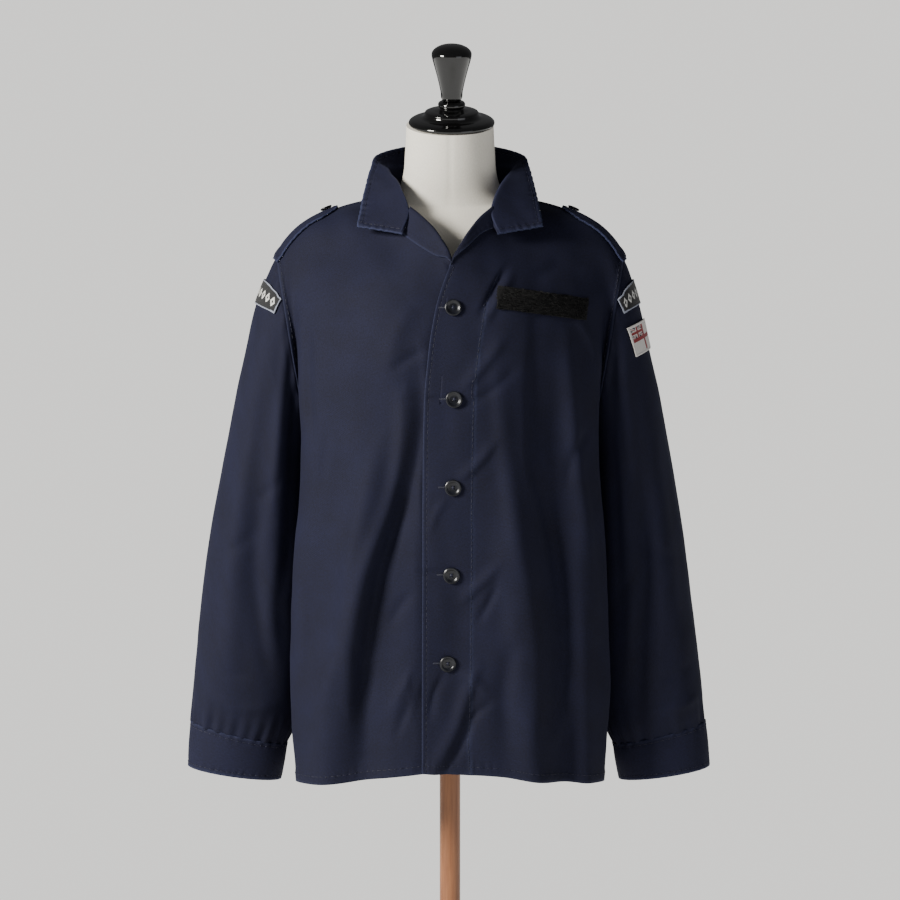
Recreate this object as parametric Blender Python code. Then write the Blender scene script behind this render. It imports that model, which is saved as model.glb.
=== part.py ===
"""Navy military shirt on a limbless dress form, in metres, +Z up, front towards -Y.

The wearer's left is +X. The origin is the centre of the base's underside.
"""

from collections import namedtuple
from math import cos, pi, radians, sin

import bpy
import numpy as np
from mathutils import Matrix, Vector
from mathutils.bvhtree import BVHTree

# Driving dimensions
CLOTH = 0.0015  # wall of the single cloth
DOUBLE_CLOTH = 0.0022  # collar, cuffs and shoulder straps
PATCH_CLOTH = 0.0014
SEAM_GAP = 0.0003  # between neighbouring pieces
OVERLAP_STEP = 0.0024  # the right front lies this far behind the left one
OVERLAP_BORDER = 0.015  # and is pressed back this far beyond the left one's free edge
V_CLEAR_Z = 1.3505  # the right front lies behind the left one up to here
LEAD_IN = 0.018  # width of the lapel's columns along the free edge
LAPEL_ROLL = 0.0027  # radius of the turn where a lapel folds back
CORNER_TURN = 0.1  # two seam planes that differ by more than this meet in a corner
SHOULDER_TIP = (0.2135, 0.0, 1.357)
UNDERARM = (0.176, 0.0, 1.130)
ARMHOLE_HALF_DEPTH = 0.058
NECK_POINT = (0.082, 0.0, 1.428)
NECK_SLOPE = 0.17  # rise of the neck seam for each metre towards the back
BUTTON_RADIUS = 0.0098
BUTTON_HEIGHT = 0.0034
SMALL_BUTTON_RADIUS = 0.0075
STRAP_WIDTH = 0.050
FLAG_LENGTH = 0.056
FLAG_HEIGHT = 0.037
POLE_RADIUS = 0.013
BASE_HEIGHT = 0.026
TORSO_BOTTOM = 0.780
NECK_TOP = (0.002, -0.012, 1.5190)
NECK_TILT = radians(15.5)  # the neck's top leans towards the front

STRAP_LENGTHS = (-0.006, 0.0, 0.012, 0.026, 0.042, 0.058, 0.074, 0.084, 0.091, 0.098)
STRAP_POINT = 0.024
FRONT_BUTTONS = ((0.0038, 1.298), (0.0050, 1.189), (0.0036, 1.083), (0.0018, 0.977), (-0.0030, 0.869))
STRIP_TOP_LEFT = (0.0588, 1.3224)
STRIP_TOP_RIGHT = (0.1672, 1.3058)
STRIP_WIDTH = 0.0255
TITLE_REACH = 56  # degrees round the sleeve to each side of its top
TITLE_MIDDLE = 0.056  # places along the sleeve, as shares of its length
TITLE_ARCH = 0.050
TITLE_SHARE_WIDTH = 0.038
TITLE_CLEARANCE = 0.0008
STRAP_CLEARANCE = 0.00108
STRIP_CLEARANCE = 0.00075
BUTTON_CLEARANCE = 0.00045
CUFF_CLEARANCE = 0.0006
LAID_FROM = 0.03  # pieces are laid on the cloth from this far over it
STRAP_LAID_FROM = 0.06
FLAG_LAID_FROM = 0.08
FAR_AHEAD = -0.4  # a y well in front of the chest
STRAP_AHEAD = 0.004  # step along the shoulder that gives the strap's direction
FLAG_CENTRE = (0.2363, -0.0274, 1.2580)
FLAG_FACING = (0.80, -0.50, 0.33)
FLAG_DOWN = (0.402, 0.0, -0.915)

# Columns of the grids: how many faces lie between neighbouring section points
FLAP_STEPS = (2, 3)  # lapel, roll
FRONT_STEPS = (3, 2, 4, 2, 2)  # edge to quarter, mid, corner, valley, seam
BACK_STEPS = (4, 2, 3, 2, 2)
LOWER_ROWS = 9
UPPER_PLACES = (5.5, 6, 6.5, 7, 7.5, 8, 8.5, 9, 9.4, 9.7, 10, 10.4, 10.8, 11.2, 11.6, 12)
SLEEVE_AROUND = 22
SLEEVE_SHARES = (0, 0.025, 0.05, 0.075, 0.10, 0.14, 0.19, 0.26, 0.34, 0.43, 0.52, 0.61, 0.70, 0.79, 0.87, 0.94, 1)

# Sections of a front from the hem (row 0) to the shoulder seam (row 12). x is the distance from the middle.
FrontRow = namedtuple("FrontRow", "quarter mid corner valley")
FRONT_ROWS = (
    FrontRow((0.060, -0.139, 0.729), (0.125, -0.124, 0.719), (0.190, -0.068, 0.711), (0.181, -0.036, 0.711)),
    FrontRow((0.060, -0.142, 0.806), (0.125, -0.127, 0.802), (0.196, -0.069, 0.798), (0.183, -0.036, 0.798)),
    FrontRow((0.060, -0.145, 0.903), (0.125, -0.129, 0.901), (0.195, -0.070, 0.898), (0.181, -0.037, 0.898)),
    FrontRow((0.060, -0.148, 1.003), (0.123, -0.129, 1.001), (0.190, -0.071, 0.999), (0.178, -0.039, 0.999)),
    FrontRow((0.060, -0.149, 1.084), (0.122, -0.128, 1.083), (0.184, -0.072, 1.080), (0.176, -0.042, 1.078)),
    FrontRow((0.060, -0.149, 1.146), (0.121, -0.127, 1.143), (0.182, -0.072, 1.138), (0.177, -0.046, 1.134)),
    FrontRow((0.060, -0.148, 1.182), (0.121, -0.125, 1.177), (0.182, -0.071, 1.166), (0.177, -0.047, 1.152)),
    FrontRow((0.060, -0.146, 1.220), (0.121, -0.123, 1.213), (0.182, -0.070, 1.202), (0.181, -0.051, 1.186)),
    FrontRow((0.060, -0.141, 1.266), (0.121, -0.117, 1.258), (0.182, -0.067, 1.247), (0.187, -0.051, 1.233)),
    FrontRow((0.060, -0.129, 1.314), (0.121, -0.105, 1.307), (0.183, -0.062, 1.296), (0.192, -0.052, 1.283)),
    FrontRow((0.066, -0.093, 1.369), (0.124, -0.071, 1.361), (0.186, -0.043, 1.347), (0.199, -0.043, 1.331)),
    FrontRow((0.078, -0.040, 1.417), (0.132, -0.031, 1.407), (0.189, -0.021, 1.380), (0.202, -0.022, 1.364)),
    FrontRow((0.082, 0.000, 1.428), (0.137, 0.000, 1.4165), (0.187, 0.000, 1.3905), (0.203, 0.000, 1.3735)),
)
SHOULDER_ROW = len(FRONT_ROWS) - 1
UNDERARM_ROW = 5
V_ROW = 9.41  # above it the fronts turn back as lapels
SIDE_SEAM = ((0.174, 0.711), (0.170, 0.798), (0.166, 0.898), (0.166, 0.999), (0.171, 1.075), UNDERARM[::2])

# The front edge: below the V the free edge of the overlap; above it the roll line, where the lapel's free
# edge has its own x and z. x grows from the middle towards the front's own side.
EdgeRow = namedtuple("EdgeRow", "row x y z lapel_x lapel_z")
LEFT_EDGE = (
    EdgeRow(0, -0.034, -0.141, 0.733, -0.034, 0.733),
    EdgeRow(1, -0.034, -0.144, 0.808, -0.034, 0.808),
    EdgeRow(3, -0.033, -0.150, 1.004, -0.033, 1.004),
    EdgeRow(5, -0.032, -0.152, 1.148, -0.032, 1.148),
    EdgeRow(7, -0.028, -0.149, 1.224, -0.028, 1.224),
    EdgeRow(8, -0.022, -0.145, 1.272, -0.022, 1.272),
    EdgeRow(9, -0.010, -0.136, 1.322, -0.010, 1.322),
    EdgeRow(9.4, 0.001, -0.129, 1.351, 0.001, 1.351),
    EdgeRow(10, 0.017, -0.116, 1.376, 0.0185, 1.3685),
    EdgeRow(11, 0.035, -0.096, 1.399, 0.0360, 1.3845),
    EdgeRow(12, 0.052, -0.078, 1.4147, 0.0525, 1.3920),
)
RIGHT_EDGE = (
    EdgeRow(0, -0.036, -0.141, 0.742, -0.036, 0.742),
    EdgeRow(1, -0.036, -0.144, 0.812, -0.036, 0.812),
    EdgeRow(3, -0.036, -0.150, 1.004, -0.036, 1.004),
    EdgeRow(5, -0.035, -0.152, 1.148, -0.035, 1.148),
    EdgeRow(7, -0.032, -0.149, 1.224, -0.032, 1.224),
    EdgeRow(8, -0.026, -0.145, 1.272, -0.026, 1.272),
    EdgeRow(9, -0.014, -0.136, 1.320, -0.014, 1.320),
    EdgeRow(9.4, -0.004, -0.129, 1.350, -0.004, 1.350),
    EdgeRow(10, 0.012, -0.116, 1.378, 0.0165, 1.3590),
    EdgeRow(11, 0.030, -0.097, 1.399, 0.0385, 1.3715),
    EdgeRow(12, 0.049, -0.079, 1.4145, 0.0563, 1.3845),
)
LAPEL_LIFT = 0.0026  # between the chest and the lapel's free edge, from middle to middle of the walls
NECKLINE_BULGE = 0.010

# Sections of half the back, from the hem to the shoulder seam; centre holds the middle's (y, z).
BackRow = namedtuple("BackRow", "centre quarter mid corner valley")
BACK_ROWS = (
    BackRow((0.128, 0.712), (0.060, 0.124, 0.712), (0.124, 0.106, 0.711), (0.186, 0.060, 0.710), (0.180, 0.031, 0.711)),
    BackRow((0.128, 0.800), (0.060, 0.124, 0.800), (0.124, 0.107, 0.799), (0.190, 0.060, 0.798), (0.181, 0.032, 0.798)),
    BackRow((0.127, 0.900), (0.060, 0.123, 0.900), (0.123, 0.107, 0.899), (0.189, 0.061, 0.898), (0.179, 0.033, 0.898)),
    BackRow((0.126, 1.001), (0.060, 0.122, 1.001), (0.122, 0.107, 1.000), (0.186, 0.062, 0.999), (0.177, 0.034, 0.999)),
    BackRow((0.126, 1.085), (0.060, 0.122, 1.085), (0.121, 0.107, 1.083), (0.182, 0.063, 1.080), (0.176, 0.037, 1.078)),
    BackRow((0.126, 1.150), (0.060, 0.122, 1.149), (0.120, 0.107, 1.145), (0.180, 0.064, 1.139), (0.177, 0.042, 1.134)),
    BackRow((0.126, 1.190), (0.060, 0.122, 1.188), (0.120, 0.107, 1.181), (0.180, 0.066, 1.168), (0.177, 0.047, 1.152)),
    BackRow((0.126, 1.235), (0.060, 0.122, 1.232), (0.120, 0.106, 1.221), (0.180, 0.068, 1.204), (0.181, 0.052, 1.186)),
    BackRow((0.124, 1.290), (0.060, 0.120, 1.284), (0.120, 0.103, 1.270), (0.181, 0.067, 1.250), (0.187, 0.053, 1.233)),
    BackRow((0.118, 1.345), (0.058, 0.112, 1.338), (0.120, 0.094, 1.321), (0.183, 0.060, 1.299), (0.192, 0.053, 1.283)),
    BackRow((0.105, 1.393), (0.056, 0.094, 1.388), (0.122, 0.065, 1.372), (0.186, 0.042, 1.349), (0.199, 0.043, 1.331)),
    BackRow((0.086, 1.426), (0.062, 0.054, 1.422), (0.131, 0.030, 1.408), (0.189, 0.021, 1.380), (0.202, 0.022, 1.364)),
    BackRow((0.070, 1.440), (0.082, 0.000, 1.428), (0.137, 0.000, 1.4165), (0.187, 0.000, 1.3905), (0.203, 0.000, 1.3735)),
)

# Drape folds: a ridge (height > 0) or a trough (height < 0) that runs from high to low and fades at both ends.
Fold = namedtuple("Fold", "x_high z_high x_low z_low width height")
FRONT_FOLDS = (
    Fold(-0.082, 1.160, -0.163, 0.690, 0.026, 0.0120),
    Fold(-0.046, 1.180, -0.108, 0.690, 0.024, -0.0090),
    Fold(0.066, 1.130, 0.106, 0.690, 0.022, 0.0100),
    Fold(0.116, 1.270, 0.142, 0.690, 0.018, -0.0100),
    Fold(0.156, 1.120, 0.170, 0.690, 0.012, 0.0050),
    Fold(0.010, 1.060, 0.016, 0.690, 0.022, -0.0030),
)
BACK_FOLDS = (
    Fold(-0.045, 1.250, -0.060, 0.690, 0.026, 0.0080),
    Fold(-0.100, 1.180, -0.125, 0.690, 0.022, -0.0080),
    Fold(0.010, 1.150, 0.004, 0.690, 0.024, -0.0070),
    Fold(0.062, 1.230, 0.078, 0.690, 0.026, 0.0090),
    Fold(0.122, 1.160, 0.138, 0.690, 0.020, -0.0070),
)
FOLD_FADE = 0.14

# Rings of a sleeve from the armhole to the cuff. share is the place along the sleeve.
SleeveRing = namedtuple("SleeveRing", "share right_outer_x left_outer_x outer_z inner_x inner_z mid_y half_depth")
SLEEVE_RINGS = (
    SleeveRing(0.00, 0.2135, 0.2135, 1.357, 0.176, 1.130, 0.000, 0.058),
    SleeveRing(0.04, 0.2235, 0.2215, 1.338, 0.178, 1.116, 0.000, 0.059),
    SleeveRing(0.08, 0.2365, 0.2310, 1.309, 0.180, 1.100, 0.000, 0.060),
    SleeveRing(0.18, 0.2550, 0.2500, 1.231, 0.181, 1.062, 0.000, 0.060),
    SleeveRing(0.32, 0.2735, 0.2680, 1.148, 0.180, 1.012, 0.001, 0.058),
    SleeveRing(0.48, 0.2925, 0.2855, 1.052, 0.178, 0.950, 0.003, 0.056),
    SleeveRing(0.64, 0.3080, 0.2990, 0.958, 0.178, 0.889, 0.004, 0.054),
    SleeveRing(0.80, 0.3180, 0.3110, 0.862, 0.184, 0.822, 0.003, 0.051),
    SleeveRing(0.93, 0.3235, 0.3185, 0.795, 0.196, 0.766, 0.001, 0.045),
    SleeveRing(1.00, 0.3250, 0.3205, 0.7735, 0.2060, 0.7455, 0.000, 0.038),
)
CUFF_BOTTOM = SleeveRing(1.0, 0.3290, 0.3260, 0.7165, 0.2140, 0.7000, -0.001, 0.037)
CUFF_LAP = 0.10  # share of the cuff's length that lies over its other end
CUFF_LAP_START = 0.70
SleeveFold = namedtuple("SleeveFold", "angle_high angle_low share_high share_low width height")
SLEEVE_FOLDS = (
    SleeveFold(70, 76, 0.02, 0.55, 11, 0.0030),
    SleeveFold(104, 96, 0.10, 0.80, 16, -0.0040),
    SleeveFold(130, 122, 0.30, 1.05, 18, 0.0030),
    SleeveFold(236, 250, 0.05, 0.75, 18, -0.0040),
    SleeveFold(286, 280, 0.20, 0.90, 14, 0.0035),
)

# Stations of half the collar: the neck seam, the roll and the outer edge.
CollarStation = namedtuple("CollarStation", "name seam roll edge")
COLLAR_STATIONS = (
    CollarStation("gorge", (0.0578, -0.1010, 1.3850), (0.0608, -0.1000, 1.3857), (0.1130, -0.0800, 1.3945)),
    CollarStation("roll start", (0.0555, -0.0762, 1.4160), (0.0543, -0.0814, 1.4204), (0.1095, -0.0600, 1.4145)),
    CollarStation("front side", (0.0720, -0.0400, 1.4212), (0.0590, -0.0560, 1.4430), (0.1050, -0.0330, 1.4370)),
    CollarStation("neck point", (0.0820, 0.0000, 1.4280), (0.0735, -0.0130, 1.4620), (0.0985, -0.0020, 1.4650)),
    CollarStation("back side", (0.0650, 0.0427, 1.4353), (0.0760, 0.0330, 1.4680), (0.0880, 0.0330, 1.4840)),
    CollarStation("back quarter", (0.0360, 0.0629, 1.4387), (0.0420, 0.0690, 1.4680), (0.0500, 0.0720, 1.4940)),
    CollarStation("back middle", (0.0000, 0.0700, 1.4399), (0.0000, 0.0770, 1.4690), (0.0000, 0.0830, 1.4955)),
)
COLLAR_ALONG = (2, 4, 3, 3, 3, 3)
COLLAR_FALL = 3  # faces from the roll to the edge
COLLAR_END_GAP = 0.0004  # more room between the lapels and the collar's ends
COLLAR_ROLL = 0.005  # length of the bend to each side of the roll
GORGE_LOW = (0.0572, -0.0980, 1.3845)
GORGE_HIGH = (0.0520, -0.0800, 1.4170)

# Sections of the dress form, from its underside to the top of the neck.
FormRow = namedtuple("FormRow", "z half_width front back lean")
FORM_ROWS = (
    FormRow(0.780, 0.146, -0.098, 0.104, 0.0),
    FormRow(0.786, 0.154, -0.106, 0.111, 0.0),
    FormRow(0.850, 0.159, -0.110, 0.115, 0.0),
    FormRow(0.950, 0.147, -0.102, 0.108, 0.0),
    FormRow(1.050, 0.135, -0.096, 0.101, 0.0),
    FormRow(1.150, 0.146, -0.108, 0.106, 0.0),
    FormRow(1.230, 0.158, -0.119, 0.109, 0.0),
    FormRow(1.290, 0.165, -0.113, 0.106, 0.0),
    FormRow(1.335, 0.169, -0.100, 0.098, 0.0),
    FormRow(1.365, 0.165, -0.086, 0.088, 0.0),
    FormRow(1.388, 0.154, -0.072, 0.076, 0.0),
    FormRow(1.404, 0.1345, -0.059, 0.0655, 0.0),
    FormRow(1.415, 0.107, -0.0500, 0.0570, 0.0),
    FormRow(1.424, 0.0785, -0.0475, 0.0510, 0.05),
    FormRow(1.436, 0.0655, -0.049, 0.046, 0.15),
    FormRow(1.455, 0.0585, -0.053, 0.043, 0.5),
    FormRow(1.485, 0.0555, -0.0595, 0.040, 0.8),
    FormRow(1.5186, 0.0538, -0.0645, 0.0405, 1.0),
)
FORM_AROUND = 36

# Turned profiles: (height along the axis, radius), from the bottom to the top.
CAP_PROFILE = (
    (0.0000, 0.0500), (0.0008, 0.0526), (0.0038, 0.0530), (0.0062, 0.0508), (0.0085, 0.0440),
    (0.0110, 0.0350), (0.0135, 0.0335), (0.0160, 0.0330), (0.0178, 0.0290), (0.0192, 0.0200),
    (0.0212, 0.0150), (0.0232, 0.0162), (0.0256, 0.0168), (0.0280, 0.0160), (0.0296, 0.0130),
)
FINIAL_PROFILE = (
    (0.0299, 0.0105), (0.0320, 0.0122), (0.0420, 0.0138), (0.0560, 0.0168), (0.0700, 0.0204),
    (0.0810, 0.0234), (0.0868, 0.0246), (0.0905, 0.0243), (0.0945, 0.0212), (0.0975, 0.0165),
    (0.0997, 0.0095), (0.1005, 0.0030),
)
BASE_PROFILE = (
    (0.0000, 0.1860), (0.0030, 0.1900), (0.0160, 0.1900), (0.0205, 0.1880), (0.0235, 0.1830),
    (0.0245, 0.1700), (0.0260, 0.0400),
)
BUTTON_PROFILE = ((0.0, 0.80), (0.3, 1.0), (0.8, 0.98), (1.0, 0.84), (0.76, 0.64))

# Materials: sRGB colour, roughness, metallic
FINISHES = {
    "navy_twill": ((0.105, 0.115, 0.185), 0.85, 0.0),
    "navy_button": ((0.05, 0.055, 0.08), 0.35, 0.0),
    "black_loop_tape": ((0.02, 0.02, 0.025), 0.95, 0.0),
    "title_cloth": ((0.07, 0.08, 0.14), 0.8, 0.0),
    "flag_cloth": ((0.85, 0.84, 0.82), 0.8, 0.0),
    "form_cover": ((0.87, 0.85, 0.81), 0.85, 0.0),
    "black_lacquer": ((0.02, 0.02, 0.02), 0.15, 0.0),
    "beech": ((0.72, 0.56, 0.42), 0.55, 0.0),
}


def clear_scene():
    for obj in list(bpy.data.objects):
        bpy.data.objects.remove(obj, do_unlink=True)


def material(name):
    found = bpy.data.materials.get(name)
    if found:
        return found
    color, roughness, metallic = FINISHES[name]
    made = bpy.data.materials.new(name)
    made.use_nodes = True
    shader = made.node_tree.nodes["Principled BSDF"]
    linear = [c / 12.92 if c <= 0.04045 else ((c + 0.055) / 1.055) ** 2.4 for c in color]
    shader.inputs["Base Color"].default_value = (*linear, 1.0)
    shader.inputs["Roughness"].default_value = roughness
    shader.inputs["Metallic"].default_value = metallic
    return made


def add_object(name, vertices, faces, finish):
    mesh = bpy.data.meshes.new(name)
    mesh.from_pydata([tuple(map(float, v)) for v in vertices], [], faces)
    mesh.validate()
    mesh.shade_smooth()
    mesh.set_sharp_from_angle(angle=radians(50))
    mesh.materials.append(material(finish))
    obj = bpy.data.objects.new(name, mesh)
    bpy.context.scene.collection.objects.link(obj)
    return obj


def smooth(values, places, at):
    """Cubic through the values, whose places rise; the slope at each is taken from its neighbours."""
    values = np.asarray(values, float)
    places = np.asarray(places, float)
    at = np.atleast_1d(np.asarray(at, float))
    steps = np.diff(places)
    rises = np.diff(values, axis=0) / steps.reshape(-1, *[1] * (values.ndim - 1))
    slopes = np.empty_like(values)
    slopes[0], slopes[-1] = rises[0], rises[-1]
    weight = (steps[1:] / (steps[1:] + steps[:-1])).reshape(-1, *[1] * (values.ndim - 1))
    slopes[1:-1] = rises[:-1] * weight + rises[1:] * (1 - weight)
    index = np.clip(np.searchsorted(places, at, side="right") - 1, 0, len(places) - 2)
    step = steps[index]
    t = (at - places[index]) / step
    shape = (-1, *[1] * (values.ndim - 1))
    t, step = t.reshape(shape), step.reshape(shape)
    near, far = values[index], values[index + 1]
    return (
        near * (2 * t**3 - 3 * t**2 + 1)
        + far * (3 * t**2 - 2 * t**3)
        + slopes[index] * step * (t**3 - 2 * t**2 + t)
        + slopes[index + 1] * step * (t**3 - t**2)
    )


def lengths(points):
    return np.concatenate([[0.0], np.cumsum(np.linalg.norm(np.diff(points, axis=0), axis=1))])


def through(points, at):
    """A curve through the points; at counts in points, so 1.5 is half way from the second to the third."""
    points = np.asarray(points, float)
    places = lengths(points)
    return smooth(points, places, np.interp(at, np.arange(len(points)), places))


def spread(steps):
    """Places 0, 1/n ... for each stretch between section points, in turn."""
    places = [i + k / count for i, count in enumerate(steps) for k in range(count)]
    return np.array(places + [len(steps)])


def fold_height(folds, x, z):
    total = np.zeros_like(x)
    for fold in folds:
        share = (fold.z_high - z) / (fold.z_high - fold.z_low)
        middle = fold.x_high + (fold.x_low - fold.x_high) * share
        fade = np.clip((fold.z_high - z) / FOLD_FADE, 0, 1)
        fade = fade * fade * (3 - 2 * fade)
        total += fold.height * np.exp(-(((x - middle) / fold.width) ** 2)) * fade
    return total


def armhole_point(share, side, towards):
    """A point of the armhole; share 0 is the underarm, 1 the shoulder tip; towards is -1 at the front, 1 behind."""
    low, high = np.array(UNDERARM), np.array(SHOULDER_TIP)
    point = (low + high) / 2 - (high - low) / 2 * cos(pi * share)
    point[1] += towards * ARMHOLE_HALF_DEPTH * sin(pi * share)
    point[0] *= side
    return point


def outer_seam(row, side, towards):
    """The panel's outer boundary: the side seam, then the armhole."""
    if row <= UNDERARM_ROW:
        x, z = smooth(SIDE_SEAM, np.arange(len(SIDE_SEAM)), row)[0]
        return np.array([side * x, 0.0, z])
    return armhole_point((row - UNDERARM_ROW) / (SHOULDER_ROW - UNDERARM_ROW), side, towards)


def section_points(table, row, side):
    """The section points at a row that may lie between two of the table."""
    numbers = np.array([[point for point in entry] for entry in table], float)
    places = lengths(numbers[:, 1])
    at = np.interp(row, np.arange(len(table)), places)
    points = smooth(numbers, places, at)[0]
    points[:, 0] *= side
    return points


def panel_rows():
    lower = np.linspace(0, UNDERARM_ROW, LOWER_ROWS + 1)
    return np.concatenate([lower, UPPER_PLACES])


def chest_row(row, side, steps):
    """One row of a front from its free edge or roll line over the chest and the corner fold to the seam."""
    edge_table = LEFT_EDGE if side > 0 else RIGHT_EDGE
    edge = smooth([entry[1:4] for entry in edge_table], [entry.row for entry in edge_table], row)[0]
    edge = edge * (side, 1, 1)
    seam = outer_seam(row, side, -1)
    section = section_points(FRONT_ROWS, row, side)
    if row == SHOULDER_ROW:
        neck = (edge + section[0]) / 2 + np.array([side * NECKLINE_BULGE, 0.0, 0.0])
        neck[2] = NECK_POINT[2] + NECK_SLOPE * neck[1]
        neckline = through([edge, neck, section[0]], np.linspace(0, 2, steps[0] + 1))
        shoulder = through([*section, seam], spread(steps[1:]))
        chest = np.concatenate([neckline[:-1], shoulder])
    else:
        chest = through([edge, *section, seam], spread(steps))
    chest[:, 1] -= fold_height(FRONT_FOLDS, chest[:, 0], chest[:, 2])
    return chest


def surface_of(*grids):
    """The grids' surface, to lay other pieces on."""
    vertices, faces = [], []
    for grid in grids:
        rows, columns = grid.shape[:2]
        start = len(vertices)
        vertices.extend(Vector(point) for point in grid.reshape(-1, 3))
        for i in range(rows - 1):
            for j in range(columns - 1):
                a = start + i * columns + j
                faces.append((a, a + 1, a + columns + 1, a + columns))
    return BVHTree.FromPolygons(vertices, faces)


def laid(surface, start, direction, lift, always=True):
    """Where a line from start meets the surface, moved back towards start by lift along the surface's normal."""
    direction = Vector(direction).normalized()
    place, normal, _, _ = surface.ray_cast(Vector(start), direction)
    if place is None and always:
        along = direction.dot(surface.find_nearest(Vector(start))[0] - Vector(start))
        place, normal, _, _ = surface.find_nearest(Vector(start) + direction * along)
    if place is None:
        return None
    if normal.dot(direction) > 0:
        normal = -normal
    return np.array(place + normal * lift)


def lapel_row(row, side, chest, surface, flap_steps):
    """From the lapel's free edge over the roll to where the chest begins."""
    edge_table = LEFT_EDGE if side > 0 else RIGHT_EDGE
    entry = smooth([entry[4:] for entry in edge_table], [entry.row for entry in edge_table], row)[0]
    roll = chest[0]
    tip = np.array([side * entry[0], -0.3, entry[1]])
    flap = np.hypot(tip[0] - roll[0], tip[2] - roll[2])
    radius = min(LAPEL_ROLL, 0.3 * flap)
    edge = laid(surface, tip, (0, 1, 0), min(LAPEL_LIFT, 0.6 * flap))
    away = edge - roll
    away /= np.linalg.norm(away)
    normal = np.cross(away, np.cross((0, -1, 0.6), away))
    normal /= np.linalg.norm(normal)
    lying, turning = flap_steps
    over = roll + normal * 2 * radius
    shares = np.linspace(0, 1, lying + 1)[:-1]
    flat = [edge * (1 - share) + over * share for share in shares]
    for k, share in enumerate(shares[1:], 1):
        start = flat[k] + np.array([0, -0.2, 0])
        near = laid(surface, start, (0, 1, 0), LAPEL_LIFT * (1 - share) + 2 * radius * share, always=False)
        if near is not None and near[1] < flat[k][1]:
            flat[k] = near
    turn = [
        roll + normal * radius * (1 + cos(angle)) - away * radius * sin(angle)
        for angle in np.linspace(0, pi, turning + 1)
    ]
    return np.array(flat + turn[:-1])


def lead_in(chest, count, row):
    """Below the V the lapel's columns stand close together along the free edge, and meet at the V."""
    places = lengths(chest)
    width = np.interp(row, (V_ROW - 1.5, V_ROW), (LEAD_IN, LEAD_IN / 6))
    strip = np.linspace(0, width, count + 1)
    lead = through(chest, np.interp(strip, places, np.arange(len(chest))))
    return np.concatenate([lead, chest[1:]])


def front_grid(side, rows, flap_steps=FLAP_STEPS, steps=FRONT_STEPS):
    chests = np.array([chest_row(row, side, steps) for row in rows])
    surface = surface_of(chests)
    grid = []
    for row, chest in zip(rows, chests):
        if row > V_ROW:
            grid.append(np.concatenate([lapel_row(row, side, chest, surface, flap_steps), chest]))
        else:
            grid.append(lead_in(chest, sum(flap_steps), row))
    return np.array(grid)


def behind(grid, cover):
    """The grid's points pressed back to lie behind the cover, and a little beyond its free edge."""
    surface = surface_of(cover)
    for point in grid.reshape(-1, 3):
        if point[2] > V_CLEAR_Z:
            continue
        for beyond in np.linspace(0, OVERLAP_BORDER, 4):
            start = point + np.array([beyond, -0.2, 0])
            front = laid(surface, start, (0, 1, 0), 0, always=False)
            if front is not None:
                step = OVERLAP_STEP * (1 - 0.5 * beyond / OVERLAP_BORDER)
                point[1] = max(point[1], front[1] + step)
    return grid


def back_half_row(row, side, steps):
    centre = [[0.0, *entry.centre] for entry in BACK_ROWS]
    table = [(middle, *entry[1:]) for middle, entry in zip(centre, BACK_ROWS)]
    section = section_points(table, row, side)
    seam = outer_seam(row, side, 1)
    if row == SHOULDER_ROW:
        neckline = neckline_back(np.linspace(0, 1, steps[0] + 1), side)
        shoulder = through([*section[1:], seam], spread(steps[1:]))
        half = np.concatenate([neckline[:-1], shoulder])
    else:
        mirrored = section[1] * (-1, 1, 1)
        half = through([mirrored, *section, seam], 1 + spread(steps))
    half[:, 1] += fold_height(BACK_FOLDS, half[:, 0], half[:, 2])
    return half


def neckline_back(share, side):
    """The back neckline, an arc from the middle (0) to the neck point (1)."""
    angle = np.asarray(share) * pi / 2
    depth = BACK_ROWS[-1].centre[0]
    y = depth * np.cos(angle)
    return np.stack([side * NECK_POINT[0] * np.sin(angle), y, NECK_POINT[2] + NECK_SLOPE * y], axis=1)


def back_grid(rows, steps=BACK_STEPS):
    grid = []
    for row in rows:
        left = back_half_row(row, 1, steps)
        right = back_half_row(row, -1, steps)
        grid.append(np.concatenate([left[::-1], right[1:]]))
    return np.array(grid)


def sleeve_ring(share, side, around):
    """One ring of a sleeve; the angle counts from the underarm over the front to the top and down behind."""
    outer = "left_outer_x" if side > 0 else "right_outer_x"
    columns = [
        [getattr(ring, outer), ring.outer_z, ring.inner_x, ring.inner_z, ring.mid_y, ring.half_depth]
        for ring in SLEEVE_RINGS
    ]
    sizes = smooth(columns, [ring.share for ring in SLEEVE_RINGS], share)[0]
    return ring_points(sizes, share, side, around)


def ring_points(sizes, share, side, around):
    outer_x, outer_z, inner_x, inner_z, mid_y, half_depth = sizes
    turn = np.asarray(around)
    outer, inner = np.array([side * outer_x, mid_y, outer_z]), np.array([side * inner_x, mid_y, inner_z])
    centre, half = (outer + inner) / 2, (outer - inner) / 2
    points = centre - np.cos(turn)[:, None] * half
    points[:, 1] -= np.sin(turn) * half_depth
    spokes = points - centre
    spokes /= np.linalg.norm(spokes, axis=1)[:, None]
    degrees = np.degrees(turn) % 360
    for fold in SLEEVE_FOLDS:
        along = (share - fold.share_high) / (fold.share_low - fold.share_high)
        if not 0 < along < 1:
            continue
        middle = fold.angle_high + (fold.angle_low - fold.angle_high) * along
        apart = (degrees - middle + 180) % 360 - 180
        height = fold.height * sin(pi * along) ** 0.7
        points += spokes * (height * np.exp(-((apart / fold.width) ** 2)))[:, None]
    return points


def sleeve_grid(side, shares=SLEEVE_SHARES, around=SLEEVE_AROUND):
    turns = np.arange(around) * 2 * pi / around
    return np.array([sleeve_ring(share, side, turns) for share in shares])


def closed_sleeve(side):
    grid = sleeve_grid(side)
    return np.concatenate([grid, grid[:, :1]], axis=1)


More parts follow.
